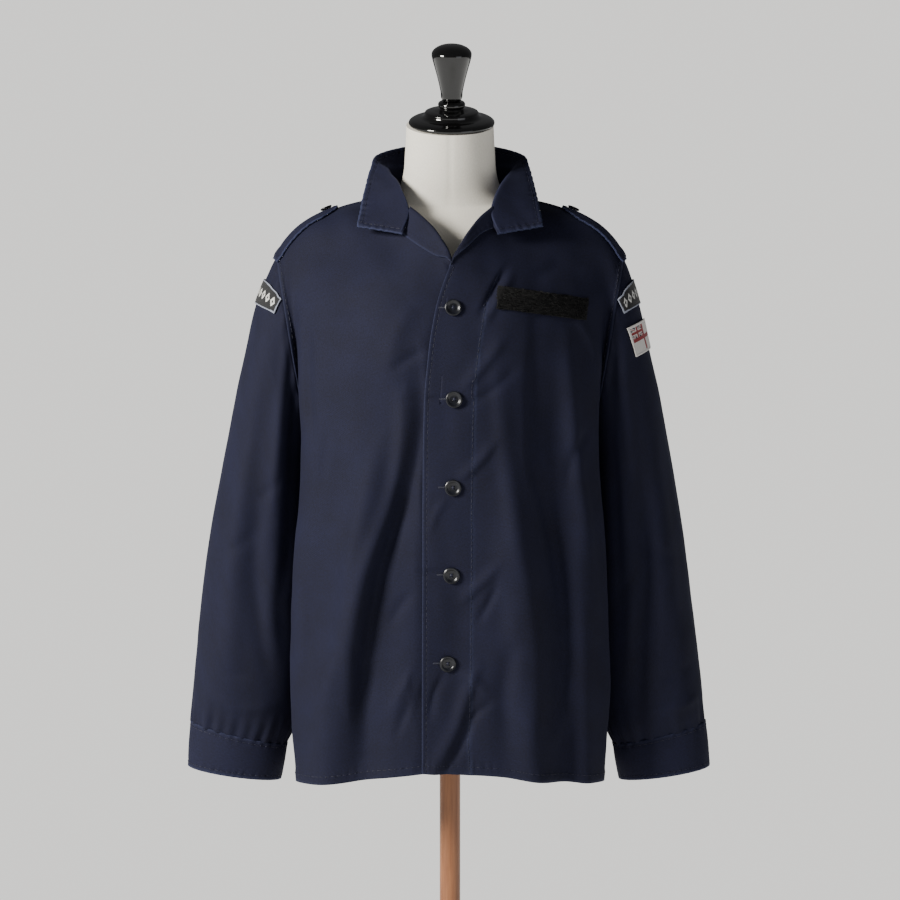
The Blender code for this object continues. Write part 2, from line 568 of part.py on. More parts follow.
def cuff_grid(side, rows=3, around=24):
    """The cuff's ends lap behind the wrist; the outer end lies over the inner one."""
    top = SLEEVE_RINGS[-1]
    outer = "left_outer_x" if side > 0 else "right_outer_x"
    place = np.linspace(0, 1 + CUFF_LAP, around + 3)
    turns = (CUFF_LAP_START + place) * 2 * pi
    lift = np.clip((place - 0.72) / 0.26, 0, 1)
    lift = lift * lift * (3 - 2 * lift) * (DOUBLE_CLOTH + 2.2 * SEAM_GAP)
    grid = []
    for share in np.linspace(0, 1, rows + 1):
        sizes = [
            getattr(top, name) * (1 - share) + getattr(CUFF_BOTTOM, name) * share
            for name in (outer, "outer_z", "inner_x", "inner_z", "mid_y", "half_depth")
        ]
        ring = ring_points(sizes, 2.0, side, turns)
        centre = np.array([side * (sizes[0] + sizes[2]) / 2, sizes[4], (sizes[1] + sizes[3]) / 2])
        spokes = ring - centre
        spokes /= np.linalg.norm(spokes, axis=1)[:, None]
        grid.append(ring + spokes * lift[:, None])
    return np.array(grid)


def collar_section(seam, roll, edge, fall_steps):
    """From the seam up the stand, round the roll and down the fall to the edge."""
    stand, fall = roll - seam, edge - roll
    bend = min(COLLAR_ROLL, 0.35 * np.linalg.norm(stand))
    before = roll - stand * bend / np.linalg.norm(stand)
    after = roll + fall * bend / np.linalg.norm(fall)
    top = roll / 2 + (before + after) / 4
    falls = [after * (1 - share) + edge * share for share in np.linspace(0, 1, fall_steps + 1)]
    return [seam, (seam + before) / 2, before, top, *falls]


def collar_grid(along_steps=COLLAR_ALONG, fall_steps=COLLAR_FALL):
    """Rows run round the neck from the right gorge to the left one; columns from the seam to the edge."""
    table = np.array([[s.seam, s.roll, s.edge] for s in COLLAR_STATIONS], float)
    both = np.concatenate([table * (-1, 1, 1), table[-2::-1]])
    places = lengths(both[:, 0])
    steps = [*along_steps, *along_steps[::-1]]
    at = np.interp(spread(steps), np.arange(len(both)), places)
    return np.array([collar_section(*station, fall_steps) for station in smooth(both, places, at)])


def grid_normals(grid, round_rows=False, round_columns=False):
    def difference(axis, closed):
        if closed:
            return np.roll(grid, -1, axis) - np.roll(grid, 1, axis)
        return np.gradient(grid, axis=axis)

    normals = np.cross(difference(0, round_rows), difference(1, round_columns))
    return normals / np.linalg.norm(normals, axis=2)[..., None]


Seam = namedtuple("Seam", "row column point towards")  # a grid edge that ends at a plane, and the way to the neighbour


def wall(name, grid, thickness, finish, outward=1, round_columns=False, seams=()):
    """A closed wall on a grid of mid-surface points. outward turns the normals; seams end in shared planes."""
    grid = np.array(grid, float)
    normals = grid_normals(grid, round_columns=round_columns) * outward
    held = np.zeros_like(grid)
    for seam in seams:
        towards = np.array(seam.towards, float)
        towards /= np.linalg.norm(towards)
        where = (seam.row, seam.column)
        edge, facing = grid[where], normals[where]
        reach = (edge - np.array(seam.point)) @ towards + SEAM_GAP / 2
        grid[where] = edge - reach[:, None] * towards
        flat = facing - (facing @ towards)[:, None] * towards
        corner = np.cross(held[where], towards)
        corner *= np.sign((corner * facing).sum(axis=1))[:, None]
        in_corner = np.linalg.norm(corner, axis=1) > CORNER_TURN
        flat[in_corner] = corner[in_corner]
        normals[where] = flat / np.linalg.norm(flat, axis=1)[:, None]
        held[where] = towards
    half = normals * thickness / 2
    return sheet_solid(name, grid + half, grid - half, finish, outward, round_columns)


def sheet_solid(name, outer, inner, finish, outward, round_columns):
    rows, columns = outer.shape[:2]
    vertices = np.concatenate([outer.reshape(-1, 3), inner.reshape(-1, 3)])
    count = rows * columns
    faces = []
    for i in range(rows - 1):
        for j in range(columns if round_columns else columns - 1):
            after = (j + 1) % columns
            a, b = i * columns + j, i * columns + after
            c, d = (i + 1) * columns + after, (i + 1) * columns + j
            faces.append((a, d, c, b))
            faces.append((count + a, count + b, count + c, count + d))
    for j in range(columns if round_columns else columns - 1):
        after = (j + 1) % columns
        faces.append((j, after, count + after, count + j))
        top = (rows - 1) * columns
        faces.append((top + j, count + top + j, count + top + after, top + after))
    if not round_columns:
        for i in range(rows - 1):
            a, b = i * columns, (i + 1) * columns
            faces.append((a, count + a, count + b, b))
            a, b = a + columns - 1, b + columns - 1
            faces.append((a, b, count + b, count + a))
    if outward < 0:
        faces = [face[::-1] for face in faces]
    return add_object(name, vertices, faces, finish)


ALL = slice(None)
SIDES = (("left", 1), ("right", -1))
NECK_NORMAL = (0, -NECK_SLOPE, 1)


def build_fronts():
    rows = panel_rows()
    made = {}
    for name, side in (("front_left", 1), ("front_right", -1)):
        grid = front_grid(side, rows)
        if side < 0:
            grid = behind(grid, made["front_left"])
        made[name] = grid.copy()
        lower = slice(0, LOWER_ROWS + 1)
        upper = slice(LOWER_ROWS, None)
        flap = sum(FLAP_STEPS)
        shoulder_start = flap + FRONT_STEPS[0]
        seams = (
            Seam(upper, -1, np.array(UNDERARM) * (side, 1, 1), armhole_normal(side)),
            Seam(lower, -1, (0, 0, 0), (0, 1, 0)),
            Seam(-1, slice(shoulder_start, None), (0, 0, 0), (0, 1, 0)),
            Seam(-1, slice(flap, shoulder_start + 1), NECK_POINT, NECK_NORMAL),
            Seam(-1, slice(0, flap), *gorge_plane(side)),
        )
        wall(name, grid, CLOTH, "navy_twill", outward=-side, seams=seams)
    return made


def armhole_normal(side):
    up = np.array(SHOULDER_TIP) - np.array(UNDERARM)
    return np.array([side * up[2], 0.0, -up[0]])


def gorge_plane(side):
    """The plane where a lapel's top meets the collar's end, and its direction from the lapel to the collar."""
    low, high = (np.array(point) * (side, 1, 1) for point in (GORGE_LOW, GORGE_HIGH))
    towards = np.cross(high - low, (0, -1, 0.5)) * side
    return low, towards / np.linalg.norm(towards)


def build_back():
    grid = back_grid(panel_rows())
    columns = grid.shape[1]
    lower, upper = slice(0, LOWER_ROWS + 1), slice(LOWER_ROWS, None)
    shoulder = columns // 2 - BACK_STEPS[0] + 1  # columns of one shoulder seam, with the neck point
    seams = []
    for side, column in ((1, 0), (-1, -1)):
        seams.append(Seam(upper, column, np.array(UNDERARM) * (side, 1, 1), armhole_normal(side)))
        seams.append(Seam(lower, column, (0, 0, 0), (0, -1, 0)))
    seams.append(Seam(-1, slice(0, shoulder), (0, 0, 0), (0, -1, 0)))
    seams.append(Seam(-1, slice(columns - shoulder, None), (0, 0, 0), (0, -1, 0)))
    seams.append(Seam(-1, slice(shoulder - 1, columns - shoulder + 1), NECK_POINT, NECK_NORMAL))
    wall("back", grid, CLOTH, "navy_twill", outward=-1, seams=seams)
    return grid


def build_sleeves():
    for name, side in SIDES:
        grid = sleeve_grid(side)
        top = SLEEVE_RINGS[-1]
        outer = top.left_outer_x if side > 0 else top.right_outer_x
        cuff_point = (side * outer, 0, top.outer_z)
        along = np.array([side * (outer - top.inner_x), 0, top.outer_z - top.inner_z])
        down = np.array([along[2] * side, 0, -abs(along[0])])
        seams = (
            Seam(0, ALL, np.array(UNDERARM) * (side, 1, 1), -armhole_normal(side)),
            Seam(-1, ALL, cuff_point, down),
        )
        wall(f"sleeve_{name}", grid, CLOTH, "navy_twill", outward=side, round_columns=True, seams=seams)
        cuff_seams = (Seam(0, ALL, cuff_point, -down),)
        wall(f"cuff_{name}", cuff_grid(side), DOUBLE_CLOTH, "navy_twill", outward=side, seams=cuff_seams)


def build_collar():
    grid = collar_grid()
    gorge = 2
    neckline = slice(gorge + 1, len(grid) - gorge - 1)
    seams = [Seam(neckline, 0, NECK_POINT, (0, NECK_SLOPE, -1))]
    for side, ends in ((-1, slice(0, gorge + 1)), (1, slice(len(grid) - gorge - 1, None))):
        point, towards = gorge_plane(side)
        seams.append(Seam(ends, 0, point + towards * COLLAR_END_GAP, -towards))
    return wall("collar", grid, DOUBLE_CLOTH, "navy_twill", outward=1, seams=seams)


def turned(name, profile, finish, origin=(0, 0, 0), axis=(0, 0, 1), around=24):
    """A solid of revolution with flat ends."""
    vertices = []
    for height, radius in profile:
        for k in range(around):
            angle = 2 * pi * k / around
            vertices.append((radius * cos(angle), radius * sin(angle), height))
    faces = [tuple(reversed(range(around)))]
    for i in range(len(profile) - 1):
        for k in range(around):
            a, b = i * around + k, i * around + (k + 1) % around
            faces.append((a, b, b + around, a + around))
    last = (len(profile) - 1) * around
    faces.append(tuple(range(last, last + around)))
    place = Matrix.Translation(origin) @ Vector((0, 0, 1)).rotation_difference(Vector(axis)).to_matrix().to_4x4()
    return add_object(name, [place @ Vector(v) for v in vertices], faces, finish)


def build_form():
    rows = []
    for row in FORM_ROWS:
        middle, depth = (row.front + row.back) / 2, (row.back - row.front) / 2
        ring = []
        for k in range(FORM_AROUND):
            angle = 2 * pi * k / FORM_AROUND
            y = depth * sin(angle)
            ring.append((row.half_width * cos(angle), middle + y, row.z + y * np.tan(NECK_TILT) * row.lean))
        rows.append(ring)
    count = FORM_AROUND
    faces = [tuple(reversed(range(count)))]
    for i in range(len(rows) - 1):
        for k in range(count):
            a, b = i * count + k, i * count + (k + 1) % count
            faces.append((a, b, b + count, a + count))
    last = (len(rows) - 1) * count
    faces.append(tuple(range(last, last + count)))
    add_object("form_torso", [v for ring in rows for v in ring], faces, "form_cover")
    axis = (0, -sin(NECK_TILT), cos(NECK_TILT))
    turned("form_neck_cap", CAP_PROFILE, "black_lacquer", NECK_TOP, axis, 28)
    turned("form_finial", FINIAL_PROFILE, "black_lacquer", NECK_TOP, axis, 20)
    top = TORSO_BOTTOM - SEAM_GAP
    bottom = BASE_HEIGHT + SEAM_GAP
    turned("form_pole", ((bottom, POLE_RADIUS), (top, POLE_RADIUS)), "beech")
    turned("form_base", BASE_PROFILE, "beech", around=40)


def grid_from(lines):
    return np.array([[point for point in line] for line in lines], float)


def build_straps(surfaces):
    """Each strap is sewn in over the sleeve head and buttoned near the collar."""
    for name, side in SIDES:
        section = section_points(FRONT_ROWS, SHOULDER_ROW, side)
        seam = through([*section, np.array(SHOULDER_TIP) * (side, 1, 1)], np.linspace(0, 4, 60))[::-1]
        places = lengths(seam)
        lines = []
        for length in STRAP_LENGTHS:
            middle = smooth(seam, places, max(length, 0.0001))[0]
            ahead = smooth(seam, places, max(length, 0.0001) + STRAP_AHEAD)[0]
            along = (ahead - middle) / np.linalg.norm(ahead - middle)
            up = np.cross(along, (0, 1, 0)) * side
            up *= np.sign(up[2])
            if length < 0:
                middle = middle + along * length
            half = strap_half_width(length)
            line = []
            for share in np.linspace(-1, 1, 7):
                start = middle + up * STRAP_LAID_FROM + np.array([0, share * half, 0])
                line.append(laid(surfaces[name], start, -up, (CLOTH + DOUBLE_CLOTH) / 2 + STRAP_CLEARANCE))
            lines.append(line)
        grid = grid_from(lines)
        wall(f"shoulder_strap_{name}", grid, DOUBLE_CLOTH, "navy_twill", outward=side)
        normal = grid_normals(grid)[-3, 3]
        normal *= np.sign(normal[2])
        button(f"strap_button_{name}", grid[-3, 3], normal, SMALL_BUTTON_RADIUS, DOUBLE_CLOTH / 2)


def strap_half_width(length):
    straight = STRAP_LENGTHS[-1] - STRAP_POINT
    if length <= straight:
        return STRAP_WIDTH / 2 * (1 - 0.14 * max(length, 0) / straight)
    share = (length - straight) / STRAP_POINT
    return STRAP_WIDTH / 2 * (0.86 - 0.66 * share)


def button(name, place, outward, radius, lift):
    outward = np.array(outward, float) / np.linalg.norm(outward)
    base = np.array(place) + outward * (lift + SEAM_GAP)
    profile = [(height * BUTTON_HEIGHT, part * radius) for height, part in BUTTON_PROFILE]
    turned(name, profile, "navy_button", base, outward, 14)


def build_front_buttons(surface):
    for number, (x, z) in enumerate(FRONT_BUTTONS, 1):
        place = laid(surface, (x, FAR_AHEAD, z), (0, 1, 0), 0)
        normal = surface.find_nearest(Vector(place))[1]
        normal = np.array(normal) * -np.sign(normal[1])
        button(f"front_button_{number}", place, normal, BUTTON_RADIUS, CLOTH / 2 + BUTTON_CLEARANCE)


def build_name_strip(surface):
    top_left, top_right = np.array(STRIP_TOP_LEFT), np.array(STRIP_TOP_RIGHT)
    drop = np.array([top_right[1] - top_left[1], top_left[0] - top_right[0]])
    drop *= STRIP_WIDTH / np.linalg.norm(drop)
    lines = []
    for across in np.linspace(0, 1, 4):
        line = []
        for along in np.linspace(0, 1, 15):
            x, z = top_left + (top_right - top_left) * along + drop * across
            line.append(laid(surface, (x, FAR_AHEAD, z), (0, 1, 0), (CLOTH + PATCH_CLOTH) / 2 + STRIP_CLEARANCE))
        lines.append(line)
    wall("name_strip", grid_from(lines), PATCH_CLOTH, "black_loop_tape", outward=1)


def build_titles(surfaces):
    """Arc-shaped patches round the sleeve heads."""
    for name, side in SIDES:
        lines = []
        for across in np.linspace(0, 1, 4):
            line = []
            for angle in np.linspace(-TITLE_REACH, TITLE_REACH, 17):
                upper = TITLE_MIDDLE - TITLE_ARCH * (angle / TITLE_REACH) ** 2
                share = upper + across * TITLE_SHARE_WIDTH
                turn = radians(180 + angle)
                point = sleeve_ring(share, side, [turn])[0]
                beside = sleeve_ring(share, side, [turn + 0.02])[0] - point
                below = sleeve_ring(share + 0.01, side, [turn])[0] - point
                normal = np.cross(below, beside) * side
                normal /= np.linalg.norm(normal)
                lift = (CLOTH + PATCH_CLOTH) / 2 + TITLE_CLEARANCE
                line.append(laid(surfaces[name], point + normal * LAID_FROM, -normal, lift))
            lines.append(line)
        wall(f"shoulder_title_{name}", grid_from(lines), PATCH_CLOTH, "title_cloth", outward=side)


def build_flag(surface):
    centre, normal, down = (np.array(v) for v in (FLAG_CENTRE, FLAG_FACING, FLAG_DOWN))
    normal = normal / np.linalg.norm(normal)
    down = down - normal * (down @ normal)
    down /= np.linalg.norm(down)
    across = np.cross(normal, down)
    lines = []
    for v in np.linspace(-0.5, 0.5, 6):
        line = []
        for u in np.linspace(-0.5, 0.5, 9):
            start = centre + across * u * FLAG_LENGTH + down * v * FLAG_HEIGHT + normal * FLAG_LAID_FROM
            line.append(laid(surface, start, -normal, (CLOTH + PATCH_CLOTH) / 2 + TITLE_CLEARANCE))
        lines.append(line)
    wall("flag_patch", grid_from(lines), PATCH_CLOTH, "flag_cloth", outward=-1)


def build_cuff_buttons():
    for name, side in SIDES:
        grid = cuff_grid(side)
        point = grid[1:3, -3].mean(axis=0)
        normal = grid_normals(grid)[1, -3] * side
        button(f"cuff_button_{name}", point, normal, SMALL_BUTTON_RADIUS, DOUBLE_CLOTH / 2 + CUFF_CLEARANCE)


def main():
    clear_scene()
    build_form()
    fronts = build_fronts()
    back = build_back()
    build_sleeves()
    build_collar()
    open_columns = sum(FLAP_STEPS)
    surfaces = {}
    for name, side in SIDES:
        front = fronts[f"front_{name}"][:, open_columns:]
        middle = back.shape[1] // 2
        half = back[:, : middle + 1] if side > 0 else back[:, middle:]
        surfaces[name] = surface_of(front, half, closed_sleeve(side))
    build_straps(surfaces)
    front_surface = surface_of(fronts["front_left"])
    build_front_buttons(front_surface)
    build_name_strip(front_surface)
    build_titles({name: surface_of(closed_sleeve(side)) for name, side in SIDES})
    build_flag(surfaces["left"])
    build_cuff_buttons()


main()
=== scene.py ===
from math import cos, pi, radians, sin, tan

import bmesh
import bpy
import numpy as np
from mathutils import Matrix, Vector
from mathutils.bvhtree import BVHTree


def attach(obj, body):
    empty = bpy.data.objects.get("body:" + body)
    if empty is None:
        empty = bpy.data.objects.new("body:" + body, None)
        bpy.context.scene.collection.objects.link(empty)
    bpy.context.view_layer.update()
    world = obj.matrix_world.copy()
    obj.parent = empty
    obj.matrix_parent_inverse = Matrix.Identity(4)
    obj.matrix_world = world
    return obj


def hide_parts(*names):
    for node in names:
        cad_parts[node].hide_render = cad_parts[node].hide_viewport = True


# Navy twill military shirt on a limbless dress form. Metres, +Z up, front towards -Y, wearer's left is +X.
# Long tables of places are in millimetres, and metres() turns them.
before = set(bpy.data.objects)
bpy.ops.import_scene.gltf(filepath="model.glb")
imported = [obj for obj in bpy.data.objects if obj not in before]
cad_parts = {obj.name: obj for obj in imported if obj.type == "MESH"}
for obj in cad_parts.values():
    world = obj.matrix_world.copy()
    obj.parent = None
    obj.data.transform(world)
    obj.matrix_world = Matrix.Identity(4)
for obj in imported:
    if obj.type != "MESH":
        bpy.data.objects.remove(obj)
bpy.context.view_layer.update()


def metres(table):
    return np.array(table, float) / 1000


def linear(hexColour):
    # sRGB hex to a linear colour
    parts = [int(hexColour[i:i + 2], 16) / 255 for i in (1, 3, 5)]
    return [c / 12.92 if c <= 0.04045 else ((c + 0.055) / 1.055) ** 2.4 for c in parts] + [1.0]


def ease(value):
    value = np.clip(value, 0, 1)
    return value * value * (3 - 2 * value)


def bell(away, width, height=1.0):
    return height * np.exp(-((away / width) ** 2))


def smoothThrough(values, places, at):
    # cubic through the values, with the slope at each taken from its neighbours
    values, places = np.asarray(values, float), np.asarray(places, float)
    at = np.atleast_1d(np.asarray(at, float))
    steps = np.diff(places)
    shape = (-1, *[1] * (values.ndim - 1))
    rises = np.diff(values, axis=0) / steps.reshape(shape)
    slopes = np.empty_like(values)
    slopes[0], slopes[-1] = rises[0], rises[-1]
    weight = (steps[1:] / (steps[1:] + steps[:-1])).reshape(shape)
    slopes[1:-1] = rises[:-1] * weight + rises[1:] * (1 - weight)
    index = np.clip(np.searchsorted(places, at, side="right") - 1, 0, len(places) - 2)
    step = steps[index].reshape(shape)
    t = ((at - places[index]) / steps[index]).reshape(shape)
    near, far = values[index], values[index + 1]
    return (near * (2 * t**3 - 3 * t**2 + 1) + far * (3 * t**2 - 2 * t**3)
            + slopes[index] * step * (t**3 - 2 * t**2 + t) + slopes[index + 1] * step * (t**3 - t**2))


def lengths(points):
    return np.concatenate([[0.0], np.cumsum(np.linalg.norm(np.diff(points, axis=0), axis=1))])


def throughPoints(points, at):
    # at counts in points, so 1.5 is half way from the second to the third
    points = np.asarray(points, float)
    places = lengths(points)
    return smoothThrough(points, places, np.interp(at, np.arange(len(points)), places))


def along3(line, places, at):
    # straight steps between the line's points, at distances along it
    return np.stack([np.interp(at, places, line[:, k]) for k in range(3)], axis=1)


def spread(steps):
    places = [i + k / count for i, count in enumerate(steps) for k in range(count)]
    return np.array(places + [len(steps)])


def across(grid):
    # distance along each row from its first column, for every point
    steps = np.linalg.norm(np.diff(grid, axis=1), axis=2)
    return np.concatenate([np.zeros((len(grid), 1)), np.cumsum(steps, axis=1)], axis=1)


def upward(grid):
    # distance along each column from its first row
    return across(grid.swapaxes(0, 1)).T


def fromBorders(grid):
    # distances from the first and the last column, then from the first and the last row
    return across(grid), across(grid[:, ::-1])[:, ::-1], upward(grid), upward(grid[::-1])[::-1]


def unit(vectors):
    return vectors / np.maximum(np.linalg.norm(vectors, axis=-1), 1e-12)[..., None]


def gridNormals(grid, outward):
    return unit(np.cross(np.gradient(grid, axis=0), np.gradient(grid, axis=1))) * outward


def lifted(grid, outward, height):
    return grid + gridNormals(grid, outward) * height[..., None]


def surfaceOf(*grids):
    points, faces = [], []
    for grid in grids:
        rows, columns = grid.shape[:2]
        start = len(points)
        points.extend(map(Vector, grid.reshape(-1, 3)))
        faces.extend((start + i * columns + j, start + i * columns + j + 1,
                      start + (i + 1) * columns + j + 1, start + (i + 1) * columns + j)
                     for i in range(rows - 1) for j in range(columns - 1))
    return BVHTree.FromPolygons(points, faces)


def laid(surface, start, direction, lift, always=True):
    # where a line from start meets the surface, moved back along the surface's normal by lift
    direction = Vector(direction).normalized()
    place, normal, _, _ = surface.ray_cast(Vector(start), direction)
    if place is None and always:
        along = direction.dot(surface.find_nearest(Vector(start))[0] - Vector(start))
        place, normal, _, _ = surface.find_nearest(Vector(start) + direction * along)
    if place is None:
        return None
    if normal.dot(direction) > 0:
        normal = -normal
    return np.array(place + normal * lift)


def smoothGrid(grid, rounds):
    # eases the grid towards its neighbours' middle, with its border held
    for _ in range(rounds):
        middle = (grid[:-2, 1:-1] + grid[2:, 1:-1] + grid[1:-1, :-2] + grid[1:-1, 2:]) / 4
        grid[1:-1, 1:-1] = grid[1:-1, 1:-1] / 2 + middle / 2
    return grid


# how every crease, pucker and seam is shaped
relief = {
    "creaseSteps": 25, "sharpening": 0.55, "taper": 0.55, "taperEnds": (0.02, 0.98),
    "puckerWaves": 5, "puckerSize": 2.2, "bandSoft": 0.0016, "grooveDepth": 0.00035, "grooveWidth": 0.0011,
}


def crease(x, z, path, width, height, sharp):
    # one ridge (height over 0) or trough along a path of (x, z); sharp steepens its right-hand side
    steps = relief["creaseSteps"]
    line = throughPoints(path, np.linspace(0, len(path) - 1, steps + 1))
    away = np.full(x.shape, np.inf)
    place, signed = np.zeros(x.shape), np.zeros(x.shape)
    for k, (a, b) in enumerate(zip(line[:-1], line[1:])):
        way = b - a
        share = np.clip(((x - a[0]) * way[0] + (z - a[1]) * way[1]) / (way @ way), 0, 1)
        dx, dz = x - a[0] - share * way[0], z - a[1] - share * way[1]
        gap = np.hypot(dx, dz)
        near = gap < away
        away = np.where(near, gap, away)
        place = np.where(near, (k + share) / steps, place)
        signed = np.where(near, np.sign(dx * way[1] - dz * way[0]), signed)
    wide = width * (1 - sharp * relief["sharpening"] * signed)
    taper = np.sin(pi * np.clip(place, *relief["taperEnds"])) ** relief["taper"]
    return height * taper * bell(away, wide)


def creased(x, z, table, depth=1.0):
    # all creases of a table, whose rows hold width, height, sharpness and the path's x and z
    total = np.zeros_like(x)
    for width, height, sharp, *path in table:
        total += crease(x, z, metres(path).reshape(-1, 2), width / 1000, height * depth / 1000, sharp)
    return total


def ripple(x, z, seed, size, waves=16, shortest=0.022, longest=0.11, stretch=1.6):
    # soft unevenness of worn cloth; stretch makes it longer downwards than across
    random = np.random.RandomState(seed)
    total = np.zeros_like(x)
    for _ in range(waves):
        wave = shortest * (longest / shortest) ** random.rand()
        turn, phase = random.rand() * pi, random.rand() * 2 * pi
        total += np.sin(2 * pi / wave * (x * cos(turn) + z * sin(turn) / stretch) + phase) * wave / longest
    return total * size / waves**0.5


def puckered(along, away, seed, height, pitch=0.009, reach=0.006, side=0):
    # small uneven gathers beside a line of stitches; a piece's puckers hold seed, height, pitch and reach
    random = np.random.RandomState(seed + side)
    total = np.zeros_like(along)
    for _ in range(relief["puckerWaves"]):
        wave = pitch * (0.65 + 0.8 * random.rand())
        total += np.sin(2 * pi * along / wave + random.rand() * 2 * pi)
    return total / relief["puckerSize"] * height * bell(away, reach)


def band(away, width, height):
    # a raised doubled edge as wide as width
    return height * (1 - ease((away - width) / relief["bandSoft"]))


def groove(away, at, depth=relief["grooveDepth"], width=relief["grooveWidth"]):
    # where a row of stitches pulls the cloth in
    return -depth * bell(away - at, width)


def addNode(tree, kind, settings=None, links=None):
    node = tree.nodes.new(kind)
    for name, value in (settings or {}).items():
        if isinstance(name, int) or name in node.inputs:
            node.inputs[name].default_value = value
        else:
            setattr(node, name, value)
    for name, source in (links or {}).items():
        tree.links.new(source, node.inputs[name])
    return node


def newMaterial(name, roughness, **sockets):
    made = bpy.data.materials.new(name)
    made.use_nodes = True
    shader = made.node_tree.nodes["Principled BSDF"]
    shader.inputs["Roughness"].default_value = roughness
    for socket, value in sockets.items():
        shader.inputs[socket.replace("_", " ")].default_value = value
    return made, made.node_tree, shader


def navyTwill(name, dark, light, wornAndHighlit):
    # woven wool-mix 2/2 twill: matt navy with a soft bloom, faint slanting ribs and paler edges, partly rubbed and
    # partly a painted edge highlight
    made, tree, shader = newMaterial(name, 0.82, Sheen_Weight=0.12, Sheen_Roughness=0.4,
                                     Sheen_Tint=linear("#7078A0"), Specular_IOR_Level=0.24)
    uv = addNode(tree, "ShaderNodeUVMap", {"uv_map": "cloth"})
    turned = addNode(tree, "ShaderNodeMapping", {"Rotation": (0, 0, radians(62))}, {"Vector": uv.outputs["UV"]})
    # ribs are 0.5 mm apart in real twill, drawn at 2.1 mm so that they show
    ribs = addNode(tree, "ShaderNodeTexWave", {"wave_type": "BANDS", "Scale": 2 * pi / 0.0021 / 20,
                                               "Distortion": 0.6, "Detail": 2.0},
                   {"Vector": turned.outputs["Vector"]})
    cloud = addNode(tree, "ShaderNodeTexNoise", {"Scale": 18.0, "Detail": 5.0, "Roughness": 0.6},
                    {"Vector": uv.outputs["UV"]})
    # single yarns differ in shade over about 3 mm
    fleck = addNode(tree, "ShaderNodeTexNoise", {"Scale": 420.0, "Detail": 3.0, "Roughness": 0.7},
                    {"Vector": uv.outputs["UV"]})
    blendNoise = addNode(tree, "ShaderNodeMath", {"operation": "MULTIPLY_ADD", 1: 0.55},
                         {0: cloud.outputs["Fac"], 2: fleck.outputs["Fac"]})
    ramp = addNode(tree, "ShaderNodeMapRange", {"From Min": 0.55, "From Max": 1.0},
                   {"Value": blendNoise.outputs["Value"]})
    shade = addNode(tree, "ShaderNodeMix", {"data_type": "RGBA", 6: linear(dark), 7: linear(light)},
                    {0: ramp.outputs["Result"]})
    # paler edges mixed into the colour: rubbed cloth, and a painted edge highlight
    wearAndHighlight = addNode(tree, "ShaderNodeAttribute", {"attribute_name": "wearAndHighlight"})
    rubbedAndHighlit = addNode(tree, "ShaderNodeMath", {"operation": "MULTIPLY"},
                     {0: wearAndHighlight.outputs["Fac"], 1: fleck.outputs["Fac"]})
    colour = addNode(tree, "ShaderNodeMix", {"data_type": "RGBA", 7: linear(wornAndHighlit)},
                     {0: rubbedAndHighlit.outputs["Value"], 6: shade.outputs[2]})
    tree.links.new(colour.outputs[2], shader.inputs["Base Color"])
    height = addNode(tree, "ShaderNodeMath", {"operation": "MULTIPLY_ADD", 1: 0.5},
                     {0: ribs.outputs["Fac"], 2: fleck.outputs["Fac"]})
    bump = addNode(tree, "ShaderNodeBump", {"Strength": 0.28, "Distance": 0.0004},
                   {"Height": height.outputs["Value"]})
    tree.links.new(bump.outputs["Normal"], shader.inputs["Normal"])
    return made


def paintedCloth(name, roughness, pitch):
    # embroidered or woven badge: colours follow the piece's own attribute, fine threads lie across it
    made, tree, shader = newMaterial(name, roughness, Sheen_Weight=0.15, Sheen_Roughness=0.5)
    paint = addNode(tree, "ShaderNodeAttribute", {"attribute_name": "paint"})
    uv = addNode(tree, "ShaderNodeUVMap", {"uv_map": "cloth"})
    # satin-stitch threads are 0.35 mm apart, drawn at pitch so that they show
    threads = addNode(tree, "ShaderNodeTexWave", {"wave_type": "BANDS", "Scale": 2 * pi / pitch / 20,
                                                  "Distortion": 1.2, "Detail": 2.0},
                      {"Vector": uv.outputs["UV"]})
    shadeRange = addNode(tree, "ShaderNodeMapRange", {"To Min": 0.78, "To Max": 1.06},
                         {"Value": threads.outputs["Fac"]})
    colour = addNode(tree, "ShaderNodeVectorMath", {"operation": "SCALE"},
                     {0: paint.outputs["Color"], 3: shadeRange.outputs["Result"]})
    tree.links.new(colour.outputs["Vector"], shader.inputs["Base Color"])
    bump = addNode(tree, "ShaderNodeBump", {"Strength": 0.5, "Distance": 0.0003},
                   {"Height": threads.outputs["Fac"]})
    tree.links.new(bump.outputs["Normal"], shader.inputs["Normal"])
    return made


def noisy(name, dark, light, roughness, scale, strength, distance, **sockets):
    # a finish whose shade and relief vary with one noise on Object coordinates
    made, tree, shader = newMaterial(name, roughness, **sockets)
    place = addNode(tree, "ShaderNodeTexCoord")
    stretch = addNode(tree, "ShaderNodeMapping", {"Scale": scale}, {"Vector": place.outputs["Object"]})
    noise = addNode(tree, "ShaderNodeTexNoise", {"Scale": 1.0, "Detail": 6.0, "Roughness": 0.6},
                    {"Vector": stretch.outputs["Vector"]})
    ramp = addNode(tree, "ShaderNodeMapRange", {"From Min": 0.3, "From Max": 0.7}, {"Value": noise.outputs["Fac"]})
    colour = addNode(tree, "ShaderNodeMix", {"data_type": "RGBA", 6: linear(dark), 7: linear(light)},
                     {0: ramp.outputs["Result"]})
    tree.links.new(colour.outputs[2], shader.inputs["Base Color"])
    bump = addNode(tree, "ShaderNodeBump", {"Strength": strength, "Distance": distance},
                   {"Height": noise.outputs["Fac"]})
    tree.links.new(bump.outputs["Normal"], shader.inputs["Normal"])
    return made


